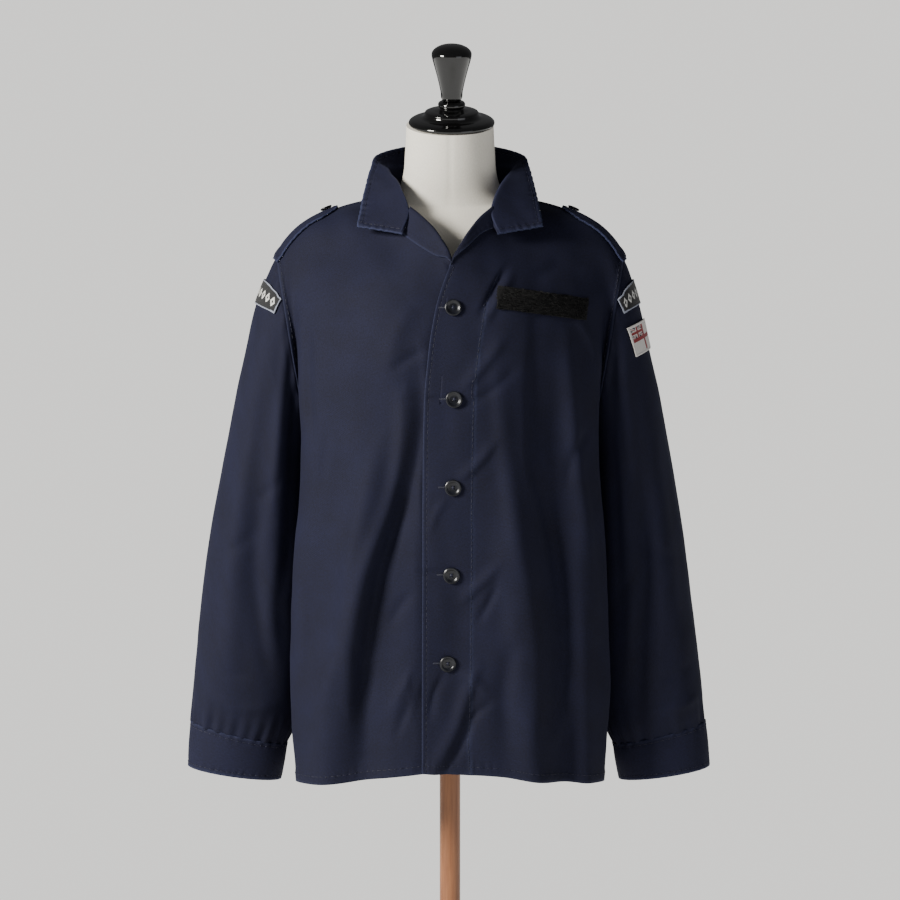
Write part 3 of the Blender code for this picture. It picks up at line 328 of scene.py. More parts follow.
finishes = {
    "twill": navyTwill("navyTwillWoven", "#0D0E1E", "#15172F", "#3A405E"),
    "facing": navyTwill("navyTwillPressed", "#0F1021", "#181A33", "#3E4464"),
    # spun polyester sewing thread, near the cloth's own shade, with a slight gloss
    "thread": noisy("navySewingThread", "#0F1122", "#1B1E36", 0.55, (900, 900, 900), 0.3, 0.0002),
    # moulded polyester button, near black navy with a soft gloss and a cloudy resin
    "button": noisy("polyesterButtonMoulded", "#0B0C11", "#14161E", 0.3, (260, 260, 260), 0.15, 0.0002,
                    Specular_IOR_Level=0.5),
    # knitted nylon loop tape: deep black, fuzzy, drinks the light
    "loops": noisy("nylonLoopTapeKnitted", "#020203", "#08080A", 0.85, (700, 700, 700), 0.8, 0.0006,
                   Sheen_Weight=0.04, Sheen_Roughness=0.6, Specular_IOR_Level=0.2),
    "title": paintedCloth("titleEmbroidered", 0.8, 0.0011),
    "flag": paintedCloth("ensignWoven", 0.78, 0.0010),
    # cotton jersey stretched over papier mache: warm off white, matt, fine knit
    "jersey": noisy("cottonJerseyKnitted", "#DDD8CB", "#EAE6DC", 0.9, (900, 900, 420), 0.25, 0.0003,
                    Sheen_Weight=0.1, Sheen_Roughness=0.6),
    # sprayed black lacquer on turned wood: mirror like with a faint orange peel
    "lacquer": noisy("blackLacquerSprayed", "#040404", "#0A0A0A", 0.12, (120, 120, 120), 0.05, 0.0002,
                     Coat_Weight=0.6, Coat_Roughness=0.04),
    # turned beech, stained warm, oiled: long fine grain up the pole and pores a few millimetres long
    "beech": noisy("beechTurnedStained", "#7C4A2B", "#A9714A", 0.45, (140, 140, 9), 0.3, 0.0003,
                   Coat_Weight=0.15, Coat_Roughness=0.3),
    "beechFlat": noisy("beechTurnedBase", "#855132", "#A8724C", 0.45, (9, 140, 140), 0.25, 0.0003,
                       Coat_Weight=0.15, Coat_Roughness=0.3),
}
print("materials ready")


def meshOf(name, bm):
    mesh = bpy.data.meshes.new(name)
    bm.to_mesh(mesh)
    bm.free()
    return mesh


def addObject(name, data):
    made = bpy.data.objects.new(name, data)
    bpy.context.scene.collection.objects.link(made)
    return made


def addPiece(name, mesh, finish, nodes=(), angle=None):
    # a finished mesh becomes a piece that rides on the shirt and stands for the nodes
    mesh.shade_smooth()
    if angle:
        mesh.set_sharp_from_angle(angle=radians(angle))
    mesh.materials.append(finishes[finish])
    piece = addObject(name, mesh)
    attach(piece, "root")
    if nodes:
        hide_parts(*nodes)
    return piece


def clothSheet(name, grid, finish, outward, node, values, closed=False, wearAndHighlight=None, paint=None):
    # a grid of cloth, with its lengths as a UV map, its paler edges (rubbed, and a painted edge highlight) and a
    # wall of the cloth's thickness
    rows, columns = grid.shape[:2]
    bm = bmesh.new()
    bmesh.ops.create_grid(bm, x_segments=columns - 1, y_segments=rows - 1, size=0.5)
    mesh = meshOf(name, bm)
    flat = np.empty(len(mesh.vertices) * 3)
    mesh.vertices.foreach_get("co", flat)
    flat = flat.reshape(-1, 3) + 0.5
    i = np.rint(flat[:, 1] * (rows - 1)).astype(int)
    j = np.rint(flat[:, 0] * (columns - 1)).astype(int)
    mesh.vertices.foreach_set("co", grid[i, j].ravel())
    loopVertices = np.empty(len(mesh.loops), int)
    mesh.loops.foreach_get("vertex_index", loopVertices)
    for layer in list(mesh.uv_layers):
        mesh.uv_layers.remove(layer)
    uv = np.stack([across(grid), upward(grid)], axis=2)[i, j]
    mesh.uv_layers.new(name="cloth").data.foreach_set("uv", uv[loopVertices].ravel())
    wornAndHighlit = np.zeros((rows, columns)) if wearAndHighlight is None else np.clip(wearAndHighlight, 0, 1)
    mesh.attributes.new("wearAndHighlight", "FLOAT", "POINT").data.foreach_set("value", wornAndHighlit[i, j].ravel())
    if paint is not None:
        colours = np.concatenate([paint, np.ones((rows, columns, 1))], axis=2)
        mesh.attributes.new("paint", "FLOAT_COLOR", "POINT").data.foreach_set("color", colours[i, j].ravel())
    mesh.update()
    bm = bmesh.new()
    bm.from_mesh(mesh)
    if closed:
        bmesh.ops.remove_doubles(bm, verts=bm.verts, dist=1e-6)
        bm.normal_update()
    # one face tells whether the sheet looks outwards
    bm.faces.ensure_lookup_table()
    probe = bm.faces[len(bm.faces) // 2]
    centre = np.array(probe.calc_center_median())
    at = np.unravel_index(np.argmin(((grid - centre) ** 2).sum(axis=2)), (rows, columns))
    if Vector(gridNormals(grid, outward)[at]).dot(probe.normal) < 0:
        bmesh.ops.reverse_faces(bm, faces=bm.faces)
    bm.to_mesh(mesh)
    bm.free()
    piece = addPiece(name, mesh, finish, [node])
    wall = piece.modifiers.new("wall", "SOLIDIFY")
    wall.thickness = values["cloth"]
    wall.offset = 0.0
    return piece


stitch = {"length": 0.0026, "pitch": 0.0037, "radius": 0.00042, "sunk": 0.25, "around": 6, "along": 4}


def stitchesAlong(beads, path, normals, lift, pitch=None, length=None, radius=None):
    # places one small bead of thread for each stitch, along a path of points that lie on the cloth
    pitch, length = pitch or stitch["pitch"], length or stitch["length"]
    radius = radius or stitch["radius"]
    places = lengths(path)
    count = max(1, round(places[-1] / pitch))
    at = (np.arange(count) + 0.5) * places[-1] / count
    along = unit(along3(path, places, at + length / 2) - along3(path, places, at - length / 2))
    normal = unit(along3(normals, places, at))
    side = unit(np.cross(normal, along))
    normal = np.cross(along, side)
    point = along3(path, places, at) + normal * (lift + radius * stitch["sunk"])
    beads.append(np.stack([side * radius, normal * radius, along * length / 2, point], axis=2))


def fromBeads(name, beads, finish="thread"):
    # one bead is made, then doubled until there are enough, and each copy goes to its stitch
    places = np.concatenate(beads)
    bm = bmesh.new()
    bmesh.ops.create_uvsphere(bm, u_segments=stitch["around"], v_segments=stitch["along"], radius=1.0)
    single = len(bm.verts)
    while len(bm.verts) < single * len(places):
        bmesh.ops.duplicate(bm, geom=bm.verts[:] + bm.edges[:] + bm.faces[:])
    bmesh.ops.delete(bm, geom=bm.verts[:][single * len(places):], context="VERTS")
    mesh = meshOf(name, bm)
    flat = np.empty(len(mesh.vertices) * 3)
    mesh.vertices.foreach_get("co", flat)
    local = flat.reshape(len(places), single, 3)
    world = np.einsum("nij,nvj->nvi", places[:, :, :3], local) + places[:, None, :, 3]
    mesh.vertices.foreach_set("co", world.ravel())
    mesh.update()
    return addPiece(name, mesh, finish)


def lineAcross(grid, outward, inset, rows=slice(None), fromEnd=False):
    # the path at a distance from a grid's first (or last) column, row by row, and the normals along it
    part, normals = grid[rows], gridNormals(grid, outward)[rows]
    if fromEnd:
        part, normals = part[:, ::-1], normals[:, ::-1]
    away = across(part)
    return [np.array([along3(line[i], away[i], [inset])[0] for i in range(len(part))]) for line in (part, normals)]


def lineAlong(grid, outward, inset, columns=slice(None), fromEnd=False):
    # the path at a distance from a grid's first (or last) row, column by column
    return lineAcross(grid[:, columns].swapaxes(0, 1), -outward, inset, fromEnd=fromEnd)


def sewn(name, grid, outward, lift, seams):
    # stitches on one grid, whose seams hold their way, distance from a border, part of the grid and end
    beads = []
    for line, inset, part, fromEnd in seams:
        stitchesAlong(beads, *line(grid, outward, inset, part, fromEnd), lift)
    fromBeads(name, beads)


sides = (("left", 1), ("right", -1))

# shape of the body panels: the rows run from the hem (0) to the shoulder seam (12)
body = {
    "cloth": 0.0015, "shoulderTip": (0.2135, 0.0, 1.357), "underarm": (0.176, 0.0, 1.130), "armholeDepth": 0.058,
    "neckPoint": (0.082, 0.0, 1.428), "neckSlope": 0.17, "shoulderRow": 12, "underarmRow": 5,
    "sideSeam": ((174, 711), (170, 798), (166, 898), (166, 999), (171, 1075), (176, 1130)),
    "foldStart": 0.14, "creaseFade": 0.02, "armFrom": 4.9, "armFade": 0.2,
}
# hems and seams, and how far each panel runs past a seam; bands hold a width and a height
sewing = {"hem": 0.011, "hemBand": (0.011, 0.0006), "hemStitch": 0.010, "hemPucker": 0.00035,
          "seam": 0.0085, "seamStitch": 0.0075, "tuck": 0.0009}


def armholePoint(share, side, towards):
    low, high = np.array(body["underarm"]), np.array(body["shoulderTip"])
    point = (low + high) / 2 - (high - low) / 2 * cos(pi * share)
    point[1] += towards * body["armholeDepth"] * sin(pi * share)
    return point * (side, 1, 1)


def outerSeam(row, side, towards):
    if row <= body["underarmRow"]:
        x, z = smoothThrough(metres(body["sideSeam"]), np.arange(len(body["sideSeam"])), row)[0]
        return np.array([side * x, 0.0, z])
    return armholePoint((row - body["underarmRow"]) / (body["shoulderRow"] - body["underarmRow"]), side, towards)


def sectionPoints(table, row, side):
    numbers = metres(table)
    places = lengths(numbers[:, 1])
    return smoothThrough(numbers, places, np.interp(row, np.arange(len(table)), places))[0] * (side, 1, 1)


def foldHeight(table, x, z):
    # drape folds, whose rows hold x and z at the top, x and z at the hem, width and height
    total = np.zeros_like(x)
    for xHigh, zHigh, xLow, zLow, width, height in metres(table):
        share = (zHigh - z) / (zHigh - zLow)
        total += bell(x - xHigh - (xLow - xHigh) * share, width, height) * ease((zHigh - z) / body["foldStart"])
    return total


def worked(grid, outward, seed, size, table, depth, fromSides):
    # listed creases and worn unevenness, which fade out towards the seams
    x, z = grid[:, :, 0], grid[:, :, 2]
    fade = ease(fromSides / body["creaseFade"]) * ease(fromBorders(grid)[3] / body["creaseFade"])
    return lifted(grid, outward, (ripple(x, z, seed, size) + creased(x, z, table, depth)) * fade)


def tucked(grid, columns):
    # runs a panel a little past its seams, so that neighbours close on each other
    for column, inner in columns:
        grid[:, column] += unit(grid[:, column] - grid[:, inner]) * sewing["tuck"]
    return grid


front = {
    # quarter, mid, corner and valley points of each row
    "rows": (
        ((60, -139, 729), (125, -124, 719), (190, -68, 711), (181, -36, 711)),
        ((60, -142, 806), (125, -127, 802), (196, -69, 798), (183, -36, 798)),
        ((60, -145, 903), (125, -129, 901), (195, -70, 898), (181, -37, 898)),
        ((60, -148, 1003), (123, -129, 1001), (190, -71, 999), (178, -39, 999)),
        ((60, -149, 1084), (122, -128, 1083), (184, -72, 1080), (176, -42, 1078)),
        ((60, -149, 1146), (121, -127, 1143), (182, -72, 1138), (177, -46, 1134)),
        ((60, -148, 1182), (121, -125, 1177), (182, -71, 1166), (177, -47, 1152)),
        ((60, -146, 1220), (121, -123, 1213), (182, -70, 1202), (181, -51, 1186)),
        ((60, -141, 1266), (121, -117, 1258), (182, -67, 1247), (187, -51, 1233)),
        ((60, -129, 1314), (121, -105, 1307), (183, -62, 1296), (192, -52, 1283)),
        ((66, -93, 1369), (124, -71, 1361), (186, -43, 1347), (199, -43, 1331)),
        ((78, -40, 1417), (132, -31, 1407), (189, -21, 1380), (202, -22, 1364)),
        ((82, 0, 1428), (137, 0, 1416.5), (187, 0, 1390.5), (203, 0, 1373.5)),
    ),
    # row, then the free edge or roll line x, y, z, then the lapel's free edge x, z
    "leftEdge": (
        (0, -34, -141, 733, -34, 733), (1, -34, -144, 808, -34, 808), (3, -33, -150, 1004, -33, 1004),
        (5, -32, -152, 1148, -32, 1148), (7, -28, -149, 1224, -28, 1224), (8, -22, -145, 1272, -22, 1272),
        (9, -10, -136, 1322, -10, 1322), (9.4, 1, -129, 1351, 1, 1351), (10, 17, -116, 1376, 18.5, 1368.5),
        (11, 35, -96, 1399, 36, 1384.5), (12, 52, -78, 1414.7, 52.5, 1392),
    ),
    "rightEdge": (
        (0, -36, -141, 742, -36, 742), (1, -36, -144, 812, -36, 812), (3, -36, -150, 1004, -36, 1004),
        (5, -35, -152, 1148, -35, 1148), (7, -32, -149, 1224, -32, 1224), (8, -26, -145, 1272, -26, 1272),
        (9, -14, -136, 1320, -14, 1320), (9.4, -4, -129, 1350, -4, 1350), (10, 12, -116, 1378, 16.5, 1359),
        (11, 30, -97, 1399, 38.5, 1371.5), (12, 49, -79, 1414.5, 56.3, 1384.5),
    ),
    "folds": (
        (-82, 1160, -163, 690, 26, 12), (-46, 1180, -108, 690, 24, -9), (66, 1130, 106, 690, 22, 10),
        (116, 1270, 142, 690, 18, -10), (156, 1120, 170, 690, 12, 5), (10, 1060, 16, 690, 22, -3),
    ),
    "leftCreases": (
        (9, -4.2, 0.35, 102, 1286, 100, 1178, 101, 1110, 118, 1042, 133, 964, 140, 870),
        (12, 3.2, 0.2, 55, 1240, 64, 1144, 78, 1043, 93, 958, 106, 850, 99, 745),
        (9, 3.4, -0.2, 140, 1269, 148, 1168, 158, 1083, 170, 998, 179, 894),
        (4.5, -3, 0.5, 67, 1345, 56, 1328, 47, 1312, 36, 1292), (5, 2.2, 0, 75, 1338, 63, 1318, 53, 1300, 40, 1276),
        (3, -2, 0, -33, 981, -5, 980), (3.4, -1.4, 0, -31, 1191, -2, 1190),
        (6, 2.2, 0.4, 10, 1092, 34, 1112, 56, 1140), (7, 2.2, 0.4, 14, 1200, 40, 1228, 66, 1262),
        (6, -1.6, 0, 12, 1180, 46, 1196, 80, 1226), (5, 1.2, 0, -4, 1071, -16, 1052, -24, 1030),
        (6, 2.4, 0.4, 14, 944, 28, 958, 44, 972, 60, 990), (4.8, -2.2, 0, 34, 920, 46, 942, 57, 966),
        (5, -1.8, 0.3, -6, 860, -18, 836, -26, 800), (5.5, 2, 0.3, 10, 856, 26, 850, 46, 832),
        (5, -1.8, 0, 22, 802, 36, 810, 52, 824), (7, 3, 0.5, -25, 728, 8, 790, 21, 830, 36, 865),
        (5.5, -2.2, 0, -12, 722, 18, 778, 34, 818), (11, -2.2, 0, 80, 900, 66, 840, 70, 780),
        (9, -1.4, 0, 100, 1330, 130, 1345, 165, 1335), (6, 2.4, 0.3, 150, 1290, 172, 1250, 180, 1200),
        (10, 2, 0, 120, 760, 140, 800, 150, 850), (6, -1.6, 0, 168, 1150, 150, 1120, 140, 1080),
    ),
    "rightCreases": (
        (12, -5.8, -0.35, -38, 1240, -36, 1161, -49, 1085, -81, 990, -95, 914, -102, 828, -107, 750),
        (12.5, 6.2, 0.45, -56, 1190, -56, 1140, -70, 1070, -102, 980, -117, 905, -126, 820),
        (11, 3.6, 0.3, -84, 1140, -117, 1011, -126, 934, -138, 870, -155, 814, -165, 737),
        (6, -1.2, 0, -148, 1150, -152, 1110, -156, 1070), (6, -1.8, 0, -70, 1224, -52, 1236, -34, 1246),
        (6, -2, 0, -48, 954, -60, 938, -72, 914), (6, 2.2, 0, -40, 862, -56, 838, -70, 806),
        (5, -1.8, 0, -44, 826, -56, 804, -66, 776), (5, 2.2, 0, -180, 1290, -181, 1220, -178, 1140),
        (6, -2.2, 0, -172, 1270, -172, 1200, -166, 1130), (10, -1.2, 0, -76, 1330, -110, 1300, -150, 1290),
        (11, 1.6, 0, -42, 1300, -62, 1270, -74, 1220), (8, -1.6, 0, -120, 900, -108, 860, -112, 800),
        (7, -2, 0, -176, 960, -170, 900, -176, 840),
    ),
    "columns": (15, 15, 20, 26, 13, 11),  # edge, neckline mid, quarter, mid, corner, valley, seam
    "flapColumns": 12, "rollColumns": 6, "lowerRows": 118, "upperRows": 106, "cloth": body["cloth"],
    "vRow": 9.41, "vClearHeight": 1.3505, "vClearX": -0.055, "leadIn": (0.018, 0.003), "leadInRows": 1.5,
    "squeeze": (0.02, 0.0002), "neckBulge": 0.010,
    "lapelLift": 0.0028, "rollRadius": 0.0027, "rollFacing": (0, -1, 0.6), "overlap": 0.0026,
    "overlapBorder": 0.015, "rippleSize": 0.0011, "rippleSeeds": {"left": 11, "right": 23}, "creaseDepth": 1.45,
    "placket": 0.0605, "placketHeight": 0.0007, "placketStitch": 0.0593, "placketPucker": (31, 0.00026),
    "edgeStitch": 0.0052, "edgeReach": 0.012, "edgePucker": (32, 0.00022, 0.009, 0.004),
    "lapelStitch": 0.8, "lapelStitchRow": 9.66, "hemSeed": 34, "seamHeight": 0.0008,
    "seamPucker": (36, 0.00030, 0.011), "seamPuckerAt": 0.008,
    "shoulderBand": (0.007, 0.0006), "shoulderStart": 30, "shoulderStitch": 0.006,
    # how wide and how much the cloth is paler at its edges: rubbed, and a painted edge highlight
    "edgeWearAndHighlight": (0.0014, 0.6), "hemWearAndHighlight": (0.002, 0.5), "seamWearAndHighlight": (0.002, 0.3), "seamWearAndHighlightAt": 0.001,
    "placketWearAndHighlight": (0.0018, 0.5),
    "flat": (0.40, 0.80), "cut": 0.262,  # cut size of one front, and its flat area in square metres
}
rows = np.concatenate([
    np.linspace(0, body["underarmRow"], front["lowerRows"] + 1),
    np.linspace(body["underarmRow"], body["shoulderRow"], front["upperRows"] + 1)[1:]])
flapCount = front["flapColumns"] + front["rollColumns"]


def edgeAt(row, name):
    table = np.array(front[name + "Edge"], float)
    return smoothThrough(table[:, 1:] / 1000, table[:, 0], row)[0]


def chestRow(row, name, side):
    edge = edgeAt(row, name)[:3] * (side, 1, 1)
    section, seam = sectionPoints(front["rows"], row, side), outerSeam(row, side, -1)
    plain = throughPoints([edge, *section, seam], [0.5])[0]
    neck = (edge + section[0]) / 2 + np.array([side * front["neckBulge"], 0.0, 0.0])
    neck[2] = body["neckPoint"][2] + body["neckSlope"] * neck[1]
    weight = max(0.0, (row - front["vRow"]) / (body["shoulderRow"] - front["vRow"])) ** 2
    second = plain * (1 - weight) + neck * weight
    chest = throughPoints([edge, second, *section, seam], spread(front["columns"]))
    chest[:, 1] -= foldHeight(front["folds"], chest[:, 0], chest[:, 2])
    return chest


def lapelRow(row, name, side, chest, surface):
    # free edge, flat lapel and rolled fold of one row, laid on the chest
    lapelX, lapelZ = edgeAt(row, name)[3:]
    roll = chest[0]
    tip = np.array([side * lapelX, -0.3, lapelZ])
    flap = np.hypot(tip[0] - roll[0], tip[2] - roll[2])
    radius = min(front["rollRadius"], 0.3 * flap)
    edge = laid(surface, tip, (0, 1, 0), min(front["lapelLift"], 0.6 * flap))
    away = unit(edge - roll)
    normal = unit(np.cross(away, np.cross(front["rollFacing"], away)))
    over = roll + normal * 2 * radius
    flat = []
    for share in np.linspace(0, 1, front["flapColumns"] + 1)[:-1]:
        point = edge * (1 - share) + over * share
        if share:
            near = laid(surface, point - np.array([0, 0.2, 0]), (0, 1, 0),
                        front["lapelLift"] * (1 - share) + 2 * radius * share, always=False)
            if near is not None and near[1] < point[1]:
                point = near
        flat.append(point)
    turns = [roll + normal * radius * (1 + cos(angle)) - away * radius * sin(angle)
             for angle in np.linspace(0, pi, front["rollColumns"] + 1)]
    return np.array(flat + turns[:-1])


def leadIn(chest, row):
    # below the lapel, the same columns lie close together along the free edge
    width = np.interp(row, (front["vRow"] - front["leadInRows"], front["vRow"]), front["leadIn"])
    places = lengths(chest)
    lead = along3(chest, places, np.linspace(0, width, flapCount + 1))
    rest = chest[1:].copy()
    inside = places[1:] <= width
    # columns of the chest that would lie in the strip close up just beyond it
    share, start = front["squeeze"]
    squeeze = width + (places[1:] - places[1]) * share + start
    rest[inside] = along3(chest, places, squeeze)[inside]
    return np.concatenate([lead, rest])


def pressedBehind(grid, cover):
    # keeps the right front behind the left one where they overlap
    surface = surfaceOf(cover)
    for point in grid.reshape(-1, 3):
        if point[2] > front["vClearHeight"] or point[0] < front["vClearX"]:
            continue
        for beyond in np.linspace(0, front["overlapBorder"], 4):
            ahead = laid(surface, point + np.array([beyond, -0.2, 0]), (0, 1, 0), 0, always=False)
            if ahead is not None:
                step = front["overlap"] * (1 - 0.5 * beyond / front["overlapBorder"])
                point[1] = max(point[1], ahead[1] + step)
    return grid


fronts = {}
for name, side in sides:
    chest = np.array([chestRow(row, name, side) for row in rows])
    chest = worked(chest, -side, front["rippleSeeds"][name], front["rippleSize"], front[name + "Creases"],
                   front["creaseDepth"], fromBorders(chest)[1])
    surface = surfaceOf(chest)
    fronts[name] = np.array([
        np.concatenate([lapelRow(row, name, side, line, surface), line]) if row > front["vRow"]
        else leadIn(line, row) for row, line in zip(rows, chest)])
print("front panels shaped")

low, high = np.flatnonzero(rows <= front["vRow"]), np.flatnonzero(rows > front["lapelStitchRow"])
armRows = np.flatnonzero(rows >= body["underarmRow"])
lowRows = (rows <= front["vRow"])[:, None]
onArm = ease((rows - body["armFrom"]) / body["armFade"])[:, None]
for name, side in sides:
    grid, outward = fronts[name], -side
    fromEdge, fromSeam, fromHem, fromTop = fromBorders(grid)
    raised = np.zeros(fromEdge.shape)
    if side > 0:
        raised += band(fromEdge, front["placket"], front["placketHeight"]) * lowRows
        raised += groove(fromEdge, front["placketStitch"]) * lowRows
        raised += puckered(fromHem, fromEdge - front["placket"], *front["placketPucker"]) * lowRows
    raised += groove(fromEdge, front["edgeStitch"]) * (lowRows | (fromEdge < front["edgeReach"]))
    raised += puckered(fromHem, fromEdge - front["edgeStitch"], *front["edgePucker"], side=side)
    raised += band(fromHem, *sewing["hemBand"]) + groove(fromHem, sewing["hemStitch"])
    raised += puckered(fromEdge, fromHem - sewing["hem"], front["hemSeed"], sewing["hemPucker"], side=side)
    raised += band(fromSeam, sewing["seam"], front["seamHeight"]) * (0.5 + 0.5 * onArm)
    raised += groove(fromSeam, sewing["seamStitch"])
    raised += puckered(fromHem, fromSeam - front["seamPuckerAt"], *front["seamPucker"], side=side) * onArm
    shoulder = (np.arange(grid.shape[1]) > flapCount + front["shoulderStart"])[None, :]
    raised += (band(fromTop, *front["shoulderBand"]) + groove(fromTop, front["shoulderStitch"])) * shoulder
    grid = lifted(grid, outward, raised)
    if side < 0:
        grid = pressedBehind(grid, fronts["left"])
    fronts[name] = grid = tucked(grid, [(-1, -2)])
    # paler edge, hem, seam and placket: rubbed cloth, and a painted edge highlight
    wearAndHighlight = bell(fromEdge, *front["edgeWearAndHighlight"]) + bell(fromHem, *front["hemWearAndHighlight"])
    wearAndHighlight += bell(fromSeam - front["seamWearAndHighlightAt"], *front["seamWearAndHighlight"])
    if side > 0:
        wearAndHighlight += bell(fromEdge - front["placket"], *front["placketWearAndHighlight"]) * lowRows
    clothSheet("front_panel_" + name, grid, "twill", outward, "front_" + name, front,
               wearAndHighlight=wearAndHighlight)
    shoulder = slice(flapCount + front["shoulderStart"] + 2, None)
    placketSeam = [(lineAcross, front["placketStitch"], low, False)] if side > 0 else []
    sewn("front_stitches_" + name, grid, outward, body["cloth"] / 2, [
        (lineAcross, front["edgeStitch"], low, False),
        (lineAcross, front["edgeStitch"] * front["lapelStitch"], high, False),
        (lineAlong, sewing["hemStitch"], slice(None), False), (lineAcross, sewing["seamStitch"], armRows, True),
        *placketSeam, (lineAlong, front["shoulderStitch"], shoulder, True)])
print("front panels made")

back = {
    # y and z of the middle of each row, then its quarter, mid, corner and valley points
    "centre": (
        (128, 712), (128, 800), (127, 900), (126, 1001), (126, 1085), (126, 1150), (126, 1190), (126, 1235),
        (124, 1290), (118, 1345), (105, 1393), (86, 1426), (70, 1440),
    ),
    "rows": (
        ((60, 124, 712), (124, 106, 711), (186, 60, 710), (180, 31, 711)),
        ((60, 124, 800), (124, 107, 799), (190, 60, 798), (181, 32, 798)),
        ((60, 123, 900), (123, 107, 899), (189, 61, 898), (179, 33, 898)),
        ((60, 122, 1001), (122, 107, 1000), (186, 62, 999), (177, 34, 999)),
        ((60, 122, 1085), (121, 107, 1083), (182, 63, 1080), (176, 37, 1078)),
        ((60, 122, 1149), (120, 107, 1145), (180, 64, 1139), (177, 42, 1134)),
        ((60, 122, 1188), (120, 107, 1181), (180, 66, 1168), (177, 47, 1152)),
        ((60, 122, 1232), (120, 106, 1221), (180, 68, 1204), (181, 52, 1186)),
        ((60, 120, 1284), (120, 103, 1270), (181, 67, 1250), (187, 53, 1233)),
        ((58, 112, 1338), (120, 94, 1321), (183, 60, 1299), (192, 53, 1283)),
        ((56, 94, 1388), (122, 65, 1372), (186, 42, 1349), (199, 43, 1331)),
        ((62, 54, 1422), (131, 30, 1408), (189, 21, 1380), (202, 22, 1364)),
        ((82, 0, 1428), (137, 0, 1416.5), (187, 0, 1390.5), (203, 0, 1373.5)),
    ),
    "folds": (
        (-45, 1250, -60, 690, 26, 8), (-100, 1180, -125, 690, 22, -8), (10, 1150, 4, 690, 24, -7),
        (62, 1230, 78, 690, 26, 9), (122, 1160, 138, 690, 20, -7),
    ),
    "creases": (
        (10, -2.4, 0.2, -60, 1330, -70, 1230, -52, 1120, -64, 1000),
        (11, 2.6, 0.3, 50, 1300, 66, 1200, 52, 1090, 70, 960, 66, 850),
        (9, -3, -0.3, 130, 1270, 118, 1180, 128, 1080, 120, 980),
        (9, 3, 0.3, -140, 1280, -122, 1200, -136, 1090, -150, 960),
        (10, 2.4, 0.2, -20, 1060, -10, 960, -28, 850, -16, 760), (9, -2.4, 0, 20, 940, 36, 860, 30, 760),
        (10, -2.2, 0, -90, 930, -80, 860, -92, 770), (10, 2.4, 0, 110, 900, 100, 830, 112, 750),
        (9, -1.4, 0, -100, 1365, -50, 1350, 10, 1356, 60, 1348), (6, -1.6, 0, 172, 1180, 150, 1140, 140, 1080),
        (6, 1.8, 0, -170, 1170, -152, 1130, -146, 1070),
    ),
    "columns": (26, 20, 26, 12, 11), "arcRow": 10.6, "arcRows": 1.4, "rippleSeed": 47, "rippleSize": 0.0012,
    "hemSeed": 51, "seamHeight": 0.0006, "yokeBand": (0.030, 0.0004), "yokeStitch": 0.029,
    "hemWearAndHighlight": (0.002, 0.7), "seamWearAndHighlight": (0.002, 0.3),
    "cloth": body["cloth"], "flat": (0.60, 0.80), "cut": 0.424,
}


def neckArc(share, side):
    angle = share * pi / 2
    y = back["centre"][-1][0] / 1000 * np.cos(angle)
    x = side * body["neckPoint"][0] * np.sin(angle)
    return np.stack([x, y, body["neckPoint"][2] + body["neckSlope"] * y], axis=1)


def backHalf(row, side):
    table = [((0.0, *middle), *points) for middle, points in zip(back["centre"], back["rows"])]
    section, seam = sectionPoints(table, row, side), outerSeam(row, side, 1)
    line = throughPoints([section[1] * (-1, 1, 1), *section, seam], 1 + spread(back["columns"]))
    # the last rows turn smoothly into the neckline's arc
    weight = ease((row - back["arcRow"]) / back["arcRows"])
    if weight > 0:
        arc = neckArc(np.linspace(0, 1, back["columns"][0] + 1), side)
        shoulder = throughPoints([*section[1:], seam], spread(back["columns"][1:]))
        line = line * (1 - weight) + np.concatenate([arc[:-1], shoulder]) * weight
    line[:, 1] += foldHeight(back["folds"], line[:, 0], line[:, 2])
    return line


backGrid = np.array([np.concatenate([backHalf(row, 1)[::-1], backHalf(row, -1)[1:]]) for row in rows])
fromSide = across(backGrid)
backGrid = worked(backGrid, -1, back["rippleSeed"], back["rippleSize"], back["creases"], 1.0,
                  np.minimum(fromSide, fromSide[:, -1:] - fromSide))
fromFirst, _, fromHem, fromTop = fromBorders(backGrid)
fromSide = np.minimum(fromFirst, fromFirst[:, -1:] - fromFirst)
middle = backGrid.shape[1] // 2
raised = band(fromHem, *sewing["hemBand"]) + groove(fromHem, sewing["hemStitch"])
raised += puckered(fromFirst, fromHem - sewing["hem"], back["hemSeed"], sewing["hemPucker"])
raised += band(fromSide, sewing["seam"], back["seamHeight"]) * (rows >= body["underarmRow"])[:, None]
onShoulder = np.abs(np.arange(backGrid.shape[1]) - middle)[None, :] > back["columns"][0]
raised += (band(fromTop, *back["yokeBand"]) - groove(fromTop, back["yokeStitch"])) * onShoulder
backGrid = tucked(lifted(backGrid, -1, raised), [(0, 1), (-1, -2)])
# paler hem and side seams: rubbed cloth, and a painted edge highlight
clothSheet("back_panel", backGrid, "twill", -1, "back", back,
           wearAndHighlight=bell(fromHem, *back["hemWearAndHighlight"]) + bell(fromSide, *back["seamWearAndHighlight"]))
sewn("back_stitches", backGrid, -1, body["cloth"] / 2, [
    (lineAlong, sewing["hemStitch"], slice(None), False),
    *[(lineAcross, sewing["seamStitch"], armRows, fromEnd) for fromEnd in (False, True)]])
print("back made")

